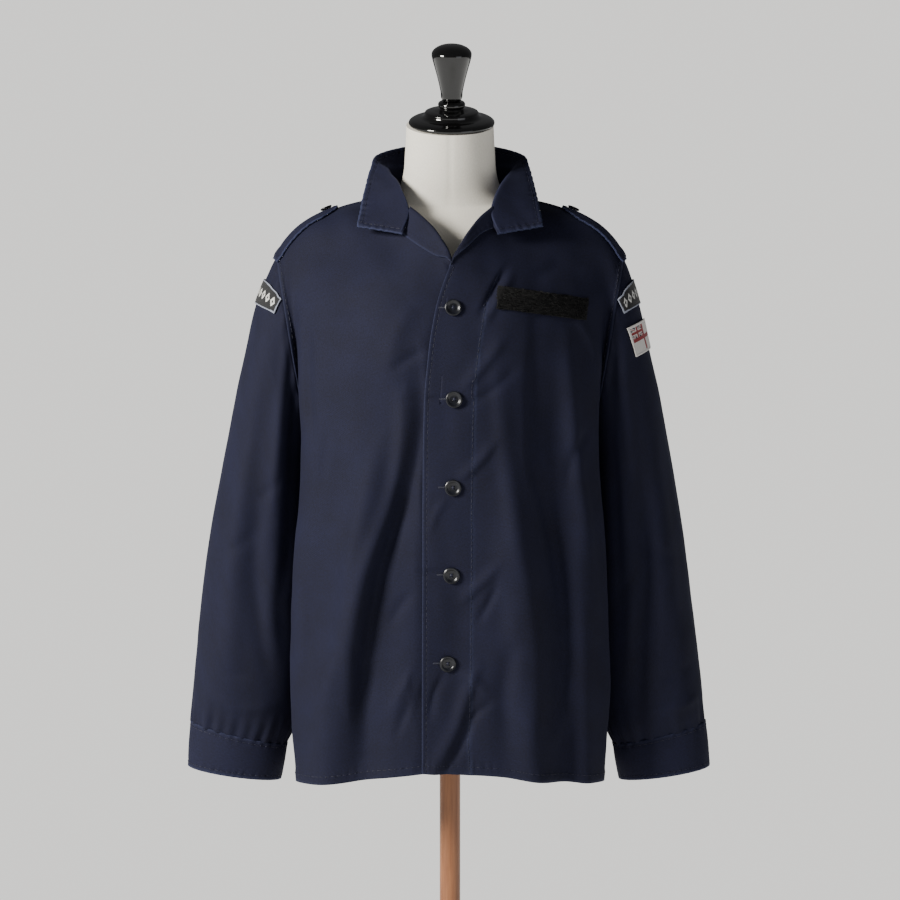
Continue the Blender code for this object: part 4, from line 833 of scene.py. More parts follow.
sleeve = {
    # share, right outer x, left outer x, outer z, inner x, inner z, mid y, half depth
    "rings": (
        (0, 213.5, 213.5, 1357, 176, 1130, 0, 58), (0.04, 223.5, 221.5, 1338, 178, 1116, 0, 59),
        (0.08, 236.5, 231, 1309, 180, 1100, 0, 60), (0.18, 255, 250, 1231, 181, 1062, 0, 60),
        (0.32, 273.5, 268, 1148, 180, 1012, 1, 58), (0.48, 292.5, 285.5, 1052, 178, 950, 3, 56),
        (0.64, 308, 299, 958, 178, 889, 4, 54), (0.8, 318, 311, 862, 184, 822, 3, 51),
        (0.93, 323.5, 318.5, 795, 196, 766, 1, 45), (1, 325, 320.5, 773.5, 206, 745.5, 0, 38),
    ),
    # angle at the top and the bottom, share at the top and the bottom, width in degrees, height
    "folds": ((70, 76, 0.02, 0.55, 11, 0.0030), (104, 96, 0.10, 0.80, 16, -0.0040),
              (130, 122, 0.30, 1.05, 18, 0.0030), (236, 250, 0.05, 0.75, 18, -0.0040),
              (286, 280, 0.20, 0.90, 14, 0.0035)),
    # creases seen from the front, then from behind, in the x and z of the wearer's left side
    "rightCreases": (
        (5.5, 3, 0.3, 196, 1304, 201, 1243, 209, 1163, 214, 1102, 220, 1040),
        (7, -3.4, 0, 186, 1268, 192, 1157, 197, 1058, 205, 946),
        (14, 2.4, 0, 230, 1280, 245, 1182, 258, 1058, 262, 934, 265, 822),
        (9, -2.6, 0, 252, 1160, 268, 1090, 281, 1009, 290, 885),
        (9, -2.4, 0.2, 232, 1060, 240, 980, 236, 900, 226, 830), (8, 2.6, 0, 214, 1000, 222, 930, 216, 850),
        (7, 2.2, 0, 300, 812, 262, 796, 220, 796), (8, -1.6, 0, 240, 1020, 262, 1000, 286, 990),
        (7, -1.6, 0, 206, 1090, 222, 1070, 236, 1060), (6, -1.6, 0, 296, 860, 276, 842, 250, 836),
    ),
    "leftCreases": (
        (8, 2.6, 0.3, 211, 1268, 219, 1157, 229, 1034), (7.5, -3.4, 0, 198, 1268, 200, 1157, 207, 1034, 212, 909),
        (10, 3, 0, 246, 1090, 258, 1009, 263, 902, 260, 809), (8, -3, 0, 236, 1040, 242, 984, 237, 885, 235, 791),
        (10, -2.4, 0, 262, 1160, 272, 1080, 284, 1000, 292, 900), (6, 2.2, 0, 250, 793, 286, 798, 310, 808),
        (7, 2.2, 0, 226, 960, 224, 900, 222, 840), (8, -1.6, 0, 232, 1010, 256, 990, 280, 984),
        (6, -1.6, 0, 300, 850, 276, 836, 256, 834),
    ),
    "backCreases": (
        (8, 2.8, 0.2, 200, 1280, 214, 1180, 222, 1080, 232, 980),
        (10, -2.8, 0, 232, 1220, 246, 1120, 258, 1010, 262, 900),
        (10, 2.6, 0, 262, 1120, 276, 1020, 288, 910, 290, 830), (8, -2.4, 0, 206, 1040, 216, 960, 222, 870),
        (9, -2, 0, 214, 1020, 244, 1000, 276, 1004), (7, 2, 0, 300, 808, 262, 794, 226, 792),
    ),
    "around": 120, "rows": 190, "headRows": 34, "headShare": 0.1, "foldTaper": 0.7,
    "frontSeed": 61, "backSeed": 65, "rippleSize": 0.0010, "backDepth": {"left": 1.0, "right": 0.8},
    "headFade": 0.02, "cuffFade": 0.012, "turning": 0.12, "turnOver": 0.3, "gatherRadius": 0.06,
    "closingColumns": 6, "headGather": (71, 0.0007, 0.016, 0.012), "headGatherAt": 0.004,
    "cuffGather": (73, 0.0013, 0.022, 0.026), "headInset": (0.003, 0.0010),
    "headTuck": (0.0035, 0.0012), "cuffTuck": (0.003, 0.0016), "inward": (-0.227, 0.0, 0.0375),
    "cloth": body["cloth"], "flat": (0.40, 0.66), "cut": 0.215,
}


def ringPoints(sizes, share, side, turns):
    outerX, outerZ, innerX, innerZ, midY, halfDepth = sizes
    outer, inner = np.array([side * outerX, midY, outerZ]), np.array([side * innerX, midY, innerZ])
    centre, radius = (outer + inner) / 2, (outer - inner) / 2
    points = centre - np.cos(turns)[:, None] * radius
    points[:, 1] -= np.sin(turns) * halfDepth
    spokes = unit(points - centre)
    degrees = np.degrees(turns) % 360
    for angleHigh, angleLow, shareHigh, shareLow, width, height in sleeve["folds"]:
        along = (share - shareHigh) / (shareLow - shareHigh)
        if 0 < along < 1:
            apart = (degrees - angleHigh - (angleLow - angleHigh) * along + 180) % 360 - 180
            points += spokes * (sin(pi * along) ** sleeve["foldTaper"] * bell(apart, width, height))[:, None]
    return points, spokes


def sleeveSizes(share, side):
    rings = np.array(sleeve["rings"])
    chosen = rings[:, [2 if side > 0 else 1, 3, 4, 5, 6, 7]] / 1000
    return smoothThrough(chosen, rings[:, 0], share)[0]


sleeves = {}
turns = np.linspace(0, 2 * pi, sleeve["around"] + 1)
shares = np.concatenate([
    np.linspace(0, sleeve["headShare"], sleeve["headRows"])[:-1],
    np.linspace(sleeve["headShare"], 1, sleeve["rows"] - sleeve["headRows"] + 1)])
for name, side in sides:
    grid = np.array([ringPoints(sleeveSizes(share, side), share, side, turns)[0] for share in shares])
    normals = gridNormals(grid, side)
    normals[:, 0] = normals[:, -1] = unit(normals[:, 0] + normals[:, -1])
    x, z = grid[:, :, 0] * side, grid[:, :, 2]
    seenFront = ease((sleeve["turning"] - normals[:, :, 1]) / sleeve["turnOver"])
    seenBack = ease((normals[:, :, 1] + sleeve["turning"]) / sleeve["turnOver"])
    _, _, fromTop, fromCuff = fromBorders(grid)
    height = ripple(x, z, sleeve["frontSeed"] + side, sleeve["rippleSize"]) * seenFront
    height += creased(x, z, sleeve[name + "Creases"]) * seenFront
    height += ripple(x, z, sleeve["backSeed"] + side, sleeve["rippleSize"]) * seenBack
    height += creased(x, z, sleeve["backCreases"], sleeve["backDepth"][name]) * seenBack
    height *= ease(fromTop / sleeve["headFade"]) * ease(fromCuff / sleeve["cuffFade"])
    # cloth is gathered into the sleeve head and the cuff: uneven pleats that die out
    around = np.broadcast_to(turns[None, :] * sleeve["gatherRadius"], fromTop.shape)
    columns = np.arange(len(turns))
    closing = np.clip(np.minimum(columns, columns[::-1])[None, :] / sleeve["closingColumns"], 0, 1)
    height += puckered(around, fromTop - sleeve["headGatherAt"], *sleeve["headGather"], side=side) * closing
    height += puckered(around, fromCuff, *sleeve["cuffGather"], side=side) * closing
    height -= bell(fromTop, *sleeve["headInset"])
    grid = grid + normals * height[..., None]
    grid[:, -1] = grid[:, 0]
    # the first ring runs in under the body's edge, and the last one into the cuff
    (headReach, headSink), (cuffReach, cuffSink) = sleeve["headTuck"], sleeve["cuffTuck"]
    headRing = grid[0] + unit(np.array(sleeve["inward"]) * (side, 1, 1)) * headReach - normals[0] * headSink
    cuffRing = grid[-1] + unit(grid[-1] - grid[-2]) * cuffReach - normals[-1] * cuffSink
    for ring in (headRing, cuffRing):
        ring[-1] = ring[0]
    sleeves[name] = grid = np.concatenate([headRing[None], grid, cuffRing[None]])
    clothSheet("sleeve_tube_" + name, grid, "twill", side, "sleeve_" + name, sleeve,
               closed=True)
print("sleeves made")

cuff = {
    # outer x and z, inner x and z, mid y and half depth of the lower edge
    "bottom": {"left": (326, 716.5, 214, 700, -1, 37), "right": (329, 716.5, 214, 700, -1, 37)},
    "lap": 0.10, "lapStart": 0.70, "lapRise": (0.72, 0.26), "swell": 0.0008, "cloth": 0.0022, "around": 170,
    "rows": 26, "pastFolds": 2.0, "stitchInset": 0.0055, "lift": 0.00286, "flat": (0.29, 0.065),
    "topPucker": (81, 0.0007, 0.012, 0.007), "endPucker": (83, 0.0003, 0.009, 0.005),
    "topWearAndHighlight": (0.0018, 0.5), "endWearAndHighlight": (0.0018, 0.9),
}
cuffs = {}
for name, side in sides:
    place = np.linspace(0, 1 + cuff["lap"], cuff["around"])
    turns = (cuff["lapStart"] + place) * 2 * pi
    rise, riseWidth = cuff["lapRise"]
    lift = ease((place - rise) / riseWidth) * cuff["lift"]
    rings = []
    for share in np.linspace(0, 1, cuff["rows"]):
        sizes = sleeveSizes(1.0, side) * (1 - share) + metres(cuff["bottom"][name]) * share
        ring, spokes = ringPoints(sizes, cuff["pastFolds"], side, turns)
        rings.append(ring + spokes * (lift[:, None] + cuff["swell"] * sin(pi * share)))
    grid = np.array(rings)
    fromStart, _, fromTop, fromEnd = fromBorders(grid)
    raised = groove(fromEnd, cuff["stitchInset"]) + groove(fromTop, cuff["stitchInset"])
    raised += puckered(fromStart, fromTop, *cuff["topPucker"], side=side)
    raised += puckered(fromStart, fromEnd - cuff["stitchInset"], *cuff["endPucker"], side=side)
    cuffs[name] = grid = lifted(grid, side, raised)
    # paler cuff edges: rubbed cloth, and a painted edge highlight
    clothSheet("cuff_band_" + name, grid, "facing", side, "cuff_" + name, cuff,
               wearAndHighlight=bell(fromEnd, *cuff["endWearAndHighlight"]) + bell(fromTop, *cuff["topWearAndHighlight"]))
    sewn("cuff_stitches_" + name, grid, side, cuff["cloth"] / 2, [
        (line, cuff["stitchInset"], slice(None), end) for end in (False, True) for line in (lineAlong, lineAcross)])
print("cuffs made")

collar = {
    # neck seam, roll and outer edge of each station, from the gorge to the back's middle
    "stations": (
        ((57.8, -101, 1385), (60.8, -100, 1385.7), (113, -80, 1394.5)),
        ((51.5, -80, 1410.5), (50, -86.6, 1411), (109.5, -60, 1414.5)),
        ((72, -40, 1421.2), (59, -56, 1443), (105, -33, 1437)),
        ((82, 0, 1428), (73.5, -13, 1462), (98.5, -2, 1465)), ((65, 42.7, 1435.3), (76, 33, 1468), (88, 33, 1484)),
        ((36, 62.9, 1438.7), (42, 69, 1468), (50, 72, 1494)), ((0, 70, 1439.9), (0, 77, 1469), (0, 83, 1495.5)),
    ),
    "along": (14, 18, 16, 16, 16, 14), "stand": 10, "turn": 8, "fall": 20, "roll": 0.005, "cloth": 0.0022,
    "rollShare": 0.35, "plainSeam": (0.004, 0.010), "stitchInset": 0.0065, "groove": (0.0006, 0.0014),
    "ripple": {"seed": 91, "size": 0.0007, "shortest": 0.02, "longest": 0.07, "stretch": 1},
    "edgePucker": (93, 0.0007), "gorgePucker": (95, 0.0012, 0.008), "seamDrop": 0.003, "dropStart": 0.02,
    "edgeWearAndHighlight": 0.0016, "gorgeWearAndHighlight": (0.0016, 0.9), "rollWearAndHighlight": (2.5, 0.35),
    "flat": (0.52, 0.085), "cut": 0.040,
}


def collarSection(seam, roll, edge):
    stand, fall = roll - seam, edge - roll
    bend = min(collar["roll"], collar["rollShare"] * np.linalg.norm(stand))
    before, after = roll - unit(stand) * bend, roll + unit(fall) * bend
    top = roll / 2 + (before + after) / 4
    upStand = [seam * (1 - s) + before * s for s in np.linspace(0, 1, collar["stand"] + 1)[:-1]]
    turn = throughPoints([before, top, after], np.linspace(0, 2, collar["turn"] + 1))[:-1]
    falls = [after * (1 - s) + edge * s for s in np.linspace(0, 1, collar["fall"] + 1)]
    return np.array([*upStand, *turn, *falls])


stations = metres(collar["stations"])
bothSides = np.concatenate([stations * (-1, 1, 1), stations[-2::-1]])
places = lengths(bothSides[:, 0])
stationsAt = np.interp(spread([*collar["along"], *collar["along"][::-1]]), np.arange(len(bothSides)), places)
grid = np.array([collarSection(*station) for station in smoothThrough(bothSides, places, stationsAt)])
fromSeam, fromEdge, fromStart, fromFinish = fromBorders(grid)
fromGorge = np.minimum(fromStart, fromFinish)
inset = collar["stitchInset"]
plainTo, plainFade = collar["plainSeam"]
raised = ripple(fromStart, fromSeam, **collar["ripple"]) + groove(fromEdge, inset, *collar["groove"])
raised += groove(fromGorge, inset, *collar["groove"]) * (fromEdge > inset)
raised += puckered(fromStart, fromEdge - inset / 2, *collar["edgePucker"])
raised += puckered(fromSeam, fromGorge - inset / 2, *collar["gorgePucker"])
grid = lifted(grid, 1, raised * ease((fromSeam - plainTo) / plainFade))
# the seam edge goes a little way down inside the neckline
drop = unit(grid[:, 0] - grid[:, 1]) * collar["seamDrop"] * np.clip(fromGorge[:, :1] / collar["dropStart"], 0, 1)
collarGrid = np.concatenate([(grid[:, 0] + drop)[:, None], grid[:, 1:]], axis=1)
rollAt = collar["stand"] + collar["turn"] // 2
# paler edge, gorge and roll: rubbed cloth, and a painted highlight where the edges and the roll catch the light
wearAndHighlight = bell(fromEdge, collar["edgeWearAndHighlight"]) + bell(fromGorge, *collar["gorgeWearAndHighlight"])
wearAndHighlight += bell(np.arange(grid.shape[1])[None, :] - rollAt, *collar["rollWearAndHighlight"])
clothSheet("collar_fall_and_stand", collarGrid, "facing", 1, "collar", collar,
           wearAndHighlight=wearAndHighlight)
fallColumns = slice(collar["stand"] + collar["turn"], None)
sewn("collar_stitches", collarGrid, 1, collar["cloth"] / 2, [
    (lineAcross, inset, slice(4, -4), True), *[(lineAlong, inset, fallColumns, end) for end in (False, True)]])
print("collar made")

# shoulder straps, patches and buttons lie on the finished shirt
chestLeft, chestRight = fronts["left"][:, flapCount:], fronts["right"][:, flapCount:]
shirtSurfaces = {
    "left": surfaceOf(chestLeft, backGrid[:, :middle + 1], sleeves["left"]),
    "right": surfaceOf(chestRight, backGrid[:, middle:], sleeves["right"]),
}
frontSurface = surfaceOf(fronts["left"][rows <= front["vRow"]], chestLeft)

strap = {
    "width": 0.050, "length": 0.098, "overhang": 0.006, "point": 0.024, "taper": 0.14, "pointed": 0.66,
    "taperPower": 1.25, "fromAbove": 0.06, "step": 0.004, "cloth": 0.0022, "lift": 0.0031,
    "along": 84, "across": 34,
    "stitchInset": 0.0045, "groove": (0.0005, 0.0012), "pucker": (101, 0.00035, 0.009, 0.004), "puckerAt": 0.002,
    "rippleSeed": 103, "rippleSize": 0.0004, "wearAndHighlight": 0.0016,
    "flat": (0.104, 0.050), "cut": 0.0046,
}
straps = {}
for name, side in sides:
    section = sectionPoints(front["rows"], body["shoulderRow"], side)
    tip = np.array(body["shoulderTip"]) * (side, 1, 1)
    seamLine = throughPoints([*section, tip], np.linspace(0, len(section), 60))[::-1]
    seamPlaces = lengths(seamLine)
    straight = strap["length"] - strap["point"]
    lines = []
    for length in np.linspace(-strap["overhang"], strap["length"], strap["along"]):
        centre, ahead = smoothThrough(seamLine, seamPlaces, max(length, 0.0001) + np.array([0, strap["step"]]))
        along = unit(ahead - centre)
        up = np.cross(along, (0, 1, 0)) * side
        up *= np.sign(up[2])
        centre = centre + along * min(length, 0)
        narrow = 1 - strap["taper"] * max(length, 0) / straight
        if length > straight:
            share = ((length - straight) / strap["point"]) ** strap["taperPower"]
            narrow = 1 - strap["taper"] - strap["pointed"] * share
        reach = strap["width"] / 2 * narrow
        above = centre + up * strap["fromAbove"]
        lines.append([laid(shirtSurfaces[name], above + np.array([0, share * reach, 0]), -up, strap["lift"])
                      for share in np.linspace(-1, 1, strap["across"])])
    grid = smoothGrid(np.array(lines), 6)
    fromStart, fromFinish, fromTip, fromHead = fromBorders(grid)
    away = np.minimum(np.minimum(fromStart, fromFinish), np.minimum(fromTip, fromHead))
    raised = groove(away, strap["stitchInset"], *strap["groove"])
    raised += puckered(fromTip + fromStart, away - strap["puckerAt"], *strap["pucker"], side=side)
    raised += ripple(grid[:, :, 0], grid[:, :, 1], strap["rippleSeed"] + side, strap["rippleSize"], stretch=1)
    straps[name] = grid = lifted(grid, side, raised)
    # paler strap edges: rubbed cloth, and a painted edge highlight
    clothSheet("strap_" + name, grid, "facing", side, "shoulder_strap_" + name, strap,
               wearAndHighlight=bell(away, strap["wearAndHighlight"]))
    sewn("strap_stitches_" + name, grid, side, strap["cloth"] / 2, [
        *[(lineAcross, strap["stitchInset"], slice(4, -3), end) for end in (False, True)],
        (lineAlong, strap["stitchInset"], slice(4, -4), False)])
print("shoulder straps made")

button = {
    # radius and height of each ring of the turned face, in shares of the radius
    "profile": ((0.0, 0.02), (0.80, 0.02), (0.93, 0.10), (1.00, 0.20), (0.985, 0.30), (0.90, 0.36), (0.80, 0.35),
                (0.70, 0.28), (0.62, 0.20), (0.48, 0.17), (0.0, 0.17)),
    "holes": 4, "holeAway": 0.23, "holeRadius": 0.085, "holeHeight": 0.15, "threadHeight": 0.19,
    "threadRadius": 0.00036, "threadApart": 0.0007, "large": 0.0100, "small": 0.0076,
    "frontLift": 0.0011, "strapLift": 0.0012, "cuffLift": 0.0014, "strapShare": 0.865, "cuffShare": 0.075,
    # x and z of the front buttons
    "front": ((0.0038, 1.298), (0.0050, 1.189), (0.0036, 1.083), (0.0018, 0.977), (-0.0030, 0.869)),
}
# the buttonhole: where it starts and ends beside the button, its half height and its bars of thread
buttonhole = {"start": -0.0172, "end": -0.0098, "halfHeight": 0.0013, "rise": 0.0003, "bars": 11,
              "pitch": 0.0026, "length": 0.0028, "radius": 0.00048}


def buttonMesh():
    # turned disc with a raised rim and four bored holes, of radius 1
    bm = bmesh.new()
    points = [bm.verts.new((r, 0, h)) for r, h in button["profile"]]
    edges = [bm.edges.new(pair) for pair in zip(points[:-1], points[1:])]
    bmesh.ops.spin(bm, geom=points + edges, cent=(0, 0, 0), axis=(0, 0, 1), angle=2 * pi, steps=40, use_merge=True)
    bmesh.ops.remove_doubles(bm, verts=bm.verts, dist=1e-5)
    bmesh.ops.recalc_face_normals(bm, faces=bm.faces)
    disc = addObject("button_disc", meshOf("button_disc", bm))
    bm = bmesh.new()
    for turn in range(button["holes"]):
        angle = pi / 4 + turn * 2 * pi / button["holes"]
        at = Matrix.Translation((button["holeAway"] * cos(angle), button["holeAway"] * sin(angle),
                                 button["holeHeight"]))
        bmesh.ops.create_cone(bm, cap_ends=True, cap_tris=False, segments=12, radius1=button["holeRadius"],
                              radius2=button["holeRadius"], depth=0.5, matrix=at)
    drill = addObject("button_drill", meshOf("button_drill", bm))
    cut = disc.modifiers.new("holes", "BOOLEAN")
    cut.operation, cut.solver, cut.object = "DIFFERENCE", "EXACT", drill
    result = bpy.data.meshes.new_from_object(disc.evaluated_get(bpy.context.evaluated_depsgraph_get()))
    for made in (disc, drill):
        bpy.data.objects.remove(made, do_unlink=True)
    return result


buttonShape = buttonMesh()


def placeButton(name, node, place, outward, radius):
    outward = unit(np.array(outward, float))
    side = unit(np.cross((0, 0, 1), outward)) if abs(outward[2]) < 0.9 else unit(np.cross((0, 1, 0), outward))
    turned = Matrix(np.column_stack([side, np.cross(outward, side), outward]).tolist()).to_4x4()
    turned.translation = Vector(place)
    bm = bmesh.new()
    bm.from_mesh(buttonShape)
    bmesh.ops.transform(bm, matrix=turned @ Matrix.Scale(radius, 4), verts=bm.verts)
    addPiece(name, meshOf(name, bm), "button", [node], 35)
    # two bars of three threads cross the holes
    beads = []
    reach = button["holeAway"] * cos(pi / 4) * radius
    for bar in (-reach, reach):
        for strand in (-0.35, 0.0, 0.35):
            y = bar + strand * button["threadApart"]
            path = np.array([turned @ Vector((x, y, radius * button["threadHeight"])) for x in (-reach, reach)])
            stitchesAlong(beads, path, np.array([outward, outward]), 0.0, pitch=reach * 2, length=reach * 2.5,
                          radius=button["threadRadius"])
    fromBeads(name + "_thread", beads)


def frontAt(x, z):
    # the place and outward normal of the shirt's front at (x, z), or nothing beyond its edge
    place, normal, _, _ = frontSurface.ray_cast(Vector((x, -0.4, z)), Vector((0, 1, 0)))
    return None if place is None else (np.array(place), np.array(normal) * -np.sign(normal[1]))


for number, (x, z) in enumerate(button["front"], 1):
    place, normal = frontAt(x, z)
    placeButton(f"button_{number}", f"front_button_{number}", place + normal * button["frontLift"], normal,
                button["large"])
    # a close bar of stitches beside the button, towards the free edge
    beads = []
    for step in np.linspace(buttonhole["start"], buttonhole["end"], buttonhole["bars"]):
        found = frontAt(x + step, z + buttonhole["rise"])
        if found:
            ends = np.array([found[0] + np.array([0, 0, way * buttonhole["halfHeight"]]) for way in (-1, 1)])
            stitchesAlong(beads, ends, np.array([found[1]] * 2), body["cloth"] / 2, pitch=buttonhole["pitch"],
                          length=buttonhole["length"], radius=buttonhole["radius"])
    fromBeads(f"buttonhole_{number}", beads)
for name, side in sides:
    at = int(strap["along"] * button["strapShare"]), strap["across"] // 2
    normal = gridNormals(straps[name], side)[at]
    normal = normal * np.sign(normal[2])
    placeButton("button_strap_" + name, "strap_button_" + name,
                straps[name][at] + normal * button["strapLift"], normal, button["small"])
    at = cuff["rows"] // 2, cuff["around"] - int(cuff["around"] * button["cuffShare"])
    normal = gridNormals(cuffs[name], side)[at]
    placeButton("button_cuff_" + name, "cuff_button_" + name,
                cuffs[name][at] + normal * button["cuffLift"], normal, button["small"])
print("buttons made")

tape = {
    "topLeft": (0.0588, 1.3224), "topRight": (0.1672, 1.3058), "width": 0.0255, "cloth": 0.0016, "lift": 0.0022,
    "along": 150, "across": 36, "seed": 7, "roughness": 0.0006, "flat": (0.110, 0.0255),
    "ripple": {"seed": 9, "size": 0.0003, "shortest": 0.004, "longest": 0.02, "stretch": 1}, "loops": 1900,
    "loopLength": 0.0016, "loopRadius": 0.00028, "loopRise": 0.0005, "loopUpright": 0.3, "loopLean": 0.75,
}
topLeft, topRight = np.array(tape["topLeft"]), np.array(tape["topRight"])
drop = np.array([topRight[1] - topLeft[1], topLeft[0] - topRight[0]])
drop *= tape["width"] / np.linalg.norm(drop)
lines = []
for down in np.linspace(0, 1, tape["across"]):
    flats = [topLeft + (topRight - topLeft) * along + drop * down for along in np.linspace(0, 1, tape["along"])]
    lines.append([laid(frontSurface, (x, -0.4, z), (0, 1, 0), tape["lift"]) for x, z in flats])
grid = smoothGrid(np.array(lines), 3)
random = np.random.RandomState(tape["seed"])
rough = random.rand(*grid.shape[:2]) * tape["roughness"] + ripple(across(grid), upward(grid), **tape["ripple"])
normals = gridNormals(grid, 1)
grid = lifted(grid, 1, rough)
clothSheet("name_tape", grid, "loops", 1, "name_strip", tape)
beads = []
for _ in range(tape["loops"]):
    at = random.randint(0, tape["across"]), random.randint(0, tape["along"])
    normal = normals[at]
    lean = unit(normal * (tape["loopUpright"] + random.rand()) + random.randn(3) * tape["loopLean"])
    start = grid[at] + normal * tape["loopRise"]
    side = unit(np.cross(lean, (0.3, 0.2, 0.9)))
    stitchesAlong(beads, np.array([start, start + lean * tape["loopLength"]]), np.array([side, side]), 0.0,
                  pitch=tape["loopLength"], length=tape["loopLength"], radius=tape["loopRadius"])
fromBeads("name_tape_loops", beads, "loops")
print("name tape made")

title = {
    "reach": 56, "middle": 0.056, "arch": 0.050, "shareWidth": 0.038, "cloth": 0.0014, "lift": 0.0022,
    "along": 196, "across": 40, "flat": (0.14, 0.055), "cut": 0.0036, "endMargin": 0.006, "borderWidth": 0.0014,
    "borderHeight": 0.0004, "borderSoft": 0.0008, "fromAbove": 0.03, "step": 0.01, "turnStep": 0.02,
    "motifHeight": 0.0002, "motifWide": 0.0040, "motifTall": 0.0062, "motifHollow": 0.45,
    "ground": "#07080E", "border": "#8E93A4", "motif": "#D9D9D6", "pitch": 0.0105,
}
for name, side in sides:
    surface = surfaceOf(sleeves[name])
    lines = []
    for downShare in np.linspace(0, 1, title["across"]):
        line = []
        for angle in np.linspace(-title["reach"], title["reach"], title["along"]):
            sag = title["arch"] * (angle / title["reach"]) ** 2
            share = title["middle"] - sag + downShare * title["shareWidth"]
            turn = radians(180 + angle) + np.array([0, title["turnStep"]])
            point, beside = ringPoints(sleeveSizes(share, side), share, side, turn)[0]
            lower = share + title["step"]
            below = ringPoints(sleeveSizes(lower, side), lower, side, turn[:1])[0][0]
            normal = unit(np.cross(below - point, beside - point) * side)
            line.append(laid(surface, point + normal * title["fromAbove"], -normal, title["lift"]))
        lines.append(line)
    grid = smoothGrid(np.array(lines), 8)
    along, down = across(grid), upward(grid)
    fromEnds = np.minimum(along, along[:, -1:] - along)
    away = np.minimum(fromEnds, np.minimum(down, down[-1:] - down))
    # a plain row of lozenges stands on the ground, as tall as the band inside the border
    pitch = title["pitch"]
    beside = np.abs((along - along[:, -1:] / 2 + pitch / 2) % pitch - pitch / 2)
    lozenge = beside / title["motifWide"] + np.abs(down - down[-1:] / 2) / title["motifTall"]
    motif = (lozenge < 1) & (lozenge > title["motifHollow"]) & (fromEnds > title["endMargin"])
    paint = np.empty((*grid.shape[:2], 3))
    paint[:] = linear(title["ground"])[:3]
    paint[motif] = linear(title["motif"])[:3]
    paint[away < title["borderWidth"]] = linear(title["border"])[:3]
    raised = bell(away - title["borderWidth"] / 2, title["borderSoft"], title["borderHeight"])
    raised += title["motifHeight"] * motif
    clothSheet("title_patch_" + name, lifted(grid, side, raised), "title", side,
               "shoulder_title_" + name, title, paint=paint)
print("titles made")

flag = {
    "centre": (0.2363, -0.0274, 1.2580), "facing": (0.80, -0.50, 0.33), "down": (0.402, 0.0, -0.915),
    "length": 0.056, "height": 0.037, "cloth": 0.0014, "lift": 0.0021, "along": 124, "across": 84,
    "fromAbove": 0.08, "flat": (0.056, 0.037), "margin": 0.003, "edgeAt": 0.001, "edgeBand": (0.0010, 0.0004),
    "armShare": 0.067,
    # half widths, in shares of the union's width and height, in the order that they are painted in
    "diagonals": ((0.13, "white"), (0.045, "red")), "crosses": ((0.12, 0.19, "white"), (0.065, 0.11, "red")),
    "white": "#DEDAD6", "red": "#8E1420", "blue": "#14182E",
}
normal, down = unit(np.array(flag["facing"])), np.array(flag["down"])
down = unit(down - normal * (down @ normal))
beside = np.cross(normal, down)
lines = []
for v in np.linspace(-0.5, 0.5, flag["across"]):
    lines.append([laid(shirtSurfaces["left"], np.array(flag["centre"]) + beside * u * flag["length"]
                       + down * v * flag["height"] + normal * flag["fromAbove"], -normal, flag["lift"])
                  for u in np.linspace(-0.5, 0.5, flag["along"])])
grid = smoothGrid(np.array(lines), 6)
u, v = np.meshgrid(np.linspace(0, flag["length"], flag["along"]), np.linspace(0, flag["height"], flag["across"]))
edge = np.minimum(np.minimum(u, flag["length"] - u), np.minimum(v, flag["height"] - v))
if (grid[0, -1] - grid[0, 0])[1] < 0:
    u = flag["length"] - u  # the hoist is towards the front
# naval ensign by its usual construction: red cross on white, the union in the upper hoist
wide, tall = flag["length"] - 2 * flag["margin"], flag["height"] - 2 * flag["margin"]
x, y, arm = u - flag["margin"], v - flag["margin"], tall * flag["armShare"]
unionWide, unionTall = wide / 2 - arm, tall / 2 - arm
colours = {key: np.array(linear(flag[key])[:3]) for key in ("white", "red", "blue")}
paint = np.empty((*u.shape, 3))
paint[:] = colours["white"]
paint[((np.abs(x - wide / 2) < arm) | (np.abs(y - tall / 2) < arm)) & (edge > flag["margin"])] = colours["red"]
union = (x > 0) & (x < unionWide) & (y > 0) & (y < unionTall)
paint[union] = colours["blue"]
fromX, fromY = (x - unionWide / 2) / unionWide, (y - unionTall / 2) / unionTall
diagonal = np.minimum(np.abs(fromX - fromY), np.abs(fromX + fromY))
for reach, colour in flag["diagonals"]:
    paint[union & (diagonal < reach)] = colours[colour]
for reachX, reachY, colour in flag["crosses"]:
    paint[union & ((np.abs(fromX) < reachX) | (np.abs(fromY) < reachY))] = colours[colour]
outward = 1 if gridNormals(grid, 1)[flag["across"] // 2, flag["along"] // 2] @ normal > 0 else -1
grid = lifted(grid, outward, bell(edge - flag["edgeAt"], *flag["edgeBand"]))
clothSheet("ensign_patch", grid, "flag", outward, "flag_patch", flag,
           paint=paint)
print("ensign patch made")

